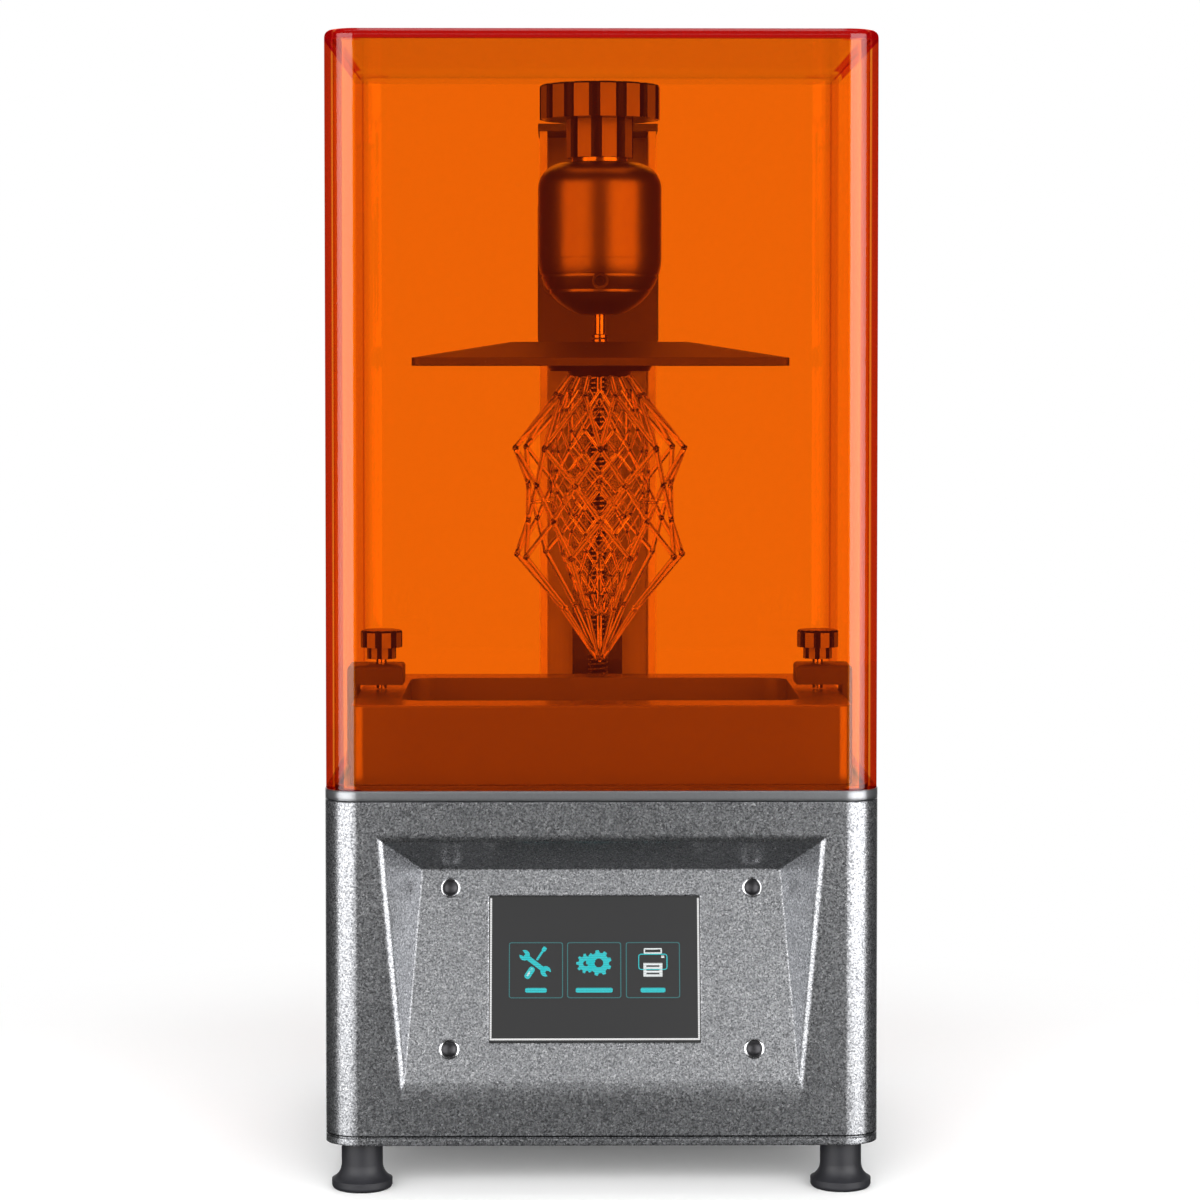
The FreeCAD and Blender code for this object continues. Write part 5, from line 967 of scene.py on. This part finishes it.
raft_piece = new_piece("print_raft", raft, dark_resin, "platform",
                       ["sample_print"])
soften(raft_piece, 30)

for piece in (lantern_piece, raft_piece):
    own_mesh(piece)


# ---------------------------------------------------------------- release film
# Clear fluoropolymer film, clamped under the vat in a steel frame. It is slightly hazy in soft
# patches, where parts have pulled off it.
clear_film, tree, place = new_material("clear fluoropolymer film")
haze = add(tree, "TexNoise", {"Vector": place, "Scale": 1 / (14 * MM), "Detail": 3.0})
rough = add(tree, "MapRange", {"Value": haze, "To Min": 0.03, "To Max": 0.16})
film = add(tree, "BsdfPrincipled", {"Base Color": linear("f2f2f4"), "IOR": 1.34,
                                    "Transmission Weight": 1.0, "Roughness": rough})
surface(tree, film)
finish_nodes(clear_film, "vat_film")


# ---------------------------------------------------------------- ball liner
# Turned acetal cup that the plate's ball turns in, pressed into the head. It is milky white,
# with a faintly uneven turned surface.
white_acetal, tree, place = new_material("turned white acetal")
rings = add(tree, "TexNoise", {"Vector": place, "Scale": 1 / (0.6 * MM), "Detail": 2.0})
tone = add(tree, "Mix", {0: rings, 6: linear("d8d6cf"), 7: linear("e9e8e2")}, data_type="RGBA")
bump = add(tree, "Bump", {"Height": rings, "Strength": 0.2, "Distance": 0.02 * MM})
cup = add(tree, "BsdfPrincipled", {"Base Color": tone, "IOR": 1.48, "Roughness": 0.38,
                                   "Subsurface Weight": 0.1, "Subsurface Scale": 0.002,
                                   "Normal": bump})
surface(tree, cup)
finish_nodes(white_acetal, "ball_liner")


# ---------------------------------------------------------------- moulded black parts
# Fans, power inlet, rocker and the home switch are moulded in black glass-filled plastic. The
# mould's fine spark texture keeps them matt; the real grain is 0.1 mm, drawn coarser.
black_plastic, tree, place = new_material("moulded black glass-filled plastic")
skin = add(tree, "TexVoronoi", {"Vector": place, "Scale": 1 / (0.35 * MM)}, feature="SMOOTH_F1")
cloud = add(tree, "TexNoise", {"Vector": place, "Scale": 1 / (12 * MM), "Detail": 4.0})
tone = add(tree, "Mix", {0: cloud, 6: linear("1b1b1d"), 7: linear("2b2b2e")}, data_type="RGBA")
bump = add(tree, "Bump", {"Height": skin.outputs["Distance"], "Strength": 0.25,
                          "Distance": 0.03 * MM})
rough = add(tree, "MapRange", {"Value": cloud, "To Min": 0.38, "To Max": 0.55})
round_edge = add(tree, "Bevel", {"Radius": 0.3 * MM, "Normal": bump}, samples=4)
plastic = add(tree, "BsdfPrincipled", {"Base Color": tone, "IOR": 1.54, "Roughness": rough,
                                       "Normal": round_edge})
surface(tree, plastic)
finish_nodes(black_plastic, "rear_fan_frame", "lamp_fan_frame", "power_inlet", "switch_frame",
             "switch_rocker", "rear_fan_rotor", "lamp_fan_rotor", "z_home_switch")


# ---------------------------------------------------------------- lift motor
# Stepper motor under the deck: a stack of thin steel plates in black enamel, bolted between
# two bare cast end caps. The plates are 0.5 mm and are drawn coarser, so that they show.
CAP_H = 9.0 * MM
PLATE_BAND = 3.14 * MM

motor_low, motor_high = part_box("z_motor")
motor_skin, tree, place = new_material("enamelled plates and cast aluminium caps")
spot = add(tree, "SeparateXYZ", {0: place})
above = add(tree, "Math", {0: spot.outputs["Z"], 1: motor_high.z - CAP_H},
            operation="GREATER_THAN")
below = add(tree, "Math", {0: spot.outputs["Z"], 1: motor_low.z + CAP_H}, operation="LESS_THAN")
on_cap = add(tree, "Math", {0: above, 1: below}, operation="MAXIMUM")
plates = add(tree, "TexWave", {"Vector": place, "Scale": BAND_PHASE / PLATE_BAND},
             bands_direction="Z")
sand = add(tree, "TexNoise", {"Vector": place, "Scale": 1 / (0.5 * MM), "Detail": 3.0})
enamel = add(tree, "Mix", {0: plates.outputs["Fac"], 6: linear("141416"), 7: linear("262628")},
             data_type="RGBA")
cast = add(tree, "Mix", {0: sand, 6: linear("8c8d90"), 7: linear("b4b5b8")}, data_type="RGBA")
tone = add(tree, "Mix", {0: on_cap, 6: enamel, 7: cast}, data_type="RGBA")
metal = add(tree, "BsdfPrincipled", {"Base Color": tone, "Metallic": on_cap, "Roughness": 0.42})
surface(tree, metal)
finish_nodes(motor_skin, "z_motor")


# ---------------------------------------------------------------- circuit boards
# Glass-fibre boards with green solder mask. Copper tracks show through it as paler lines on a
# 1.3 mm pitch, and tinned pads stand out as small bright dots.
TRACK = 1.3 * MM
PAD = 3.5 * MM

solder_mask, tree, place = new_material("green solder mask on glass fibre")
tracks = add(tree, "TexBrick", {"Vector": place, "Scale": 1.0, "Color1": linear("0d4a2c"),
                                "Color2": linear("10583a"), "Mortar": linear("1f7a4c"),
                                "Mortar Size": TRACK * 0.14, "Brick Width": TRACK * 6,
                                "Row Height": TRACK})
pads = add(tree, "TexVoronoi", {"Vector": place, "Scale": 1 / PAD, "Randomness": 0.6})
on_pad = add(tree, "Math", {0: pads.outputs["Distance"], 1: 0.16}, operation="LESS_THAN")
tone = add(tree, "Mix", {0: on_pad, 6: tracks.outputs["Color"], 7: linear("c9c9c4")},
           data_type="RGBA")
board = add(tree, "BsdfPrincipled", {"Base Color": tone, "IOR": 1.55, "Metallic": on_pad,
                                     "Roughness": 0.3})
surface(tree, board)
finish_nodes(solder_mask, "main_board", "lamp_board")
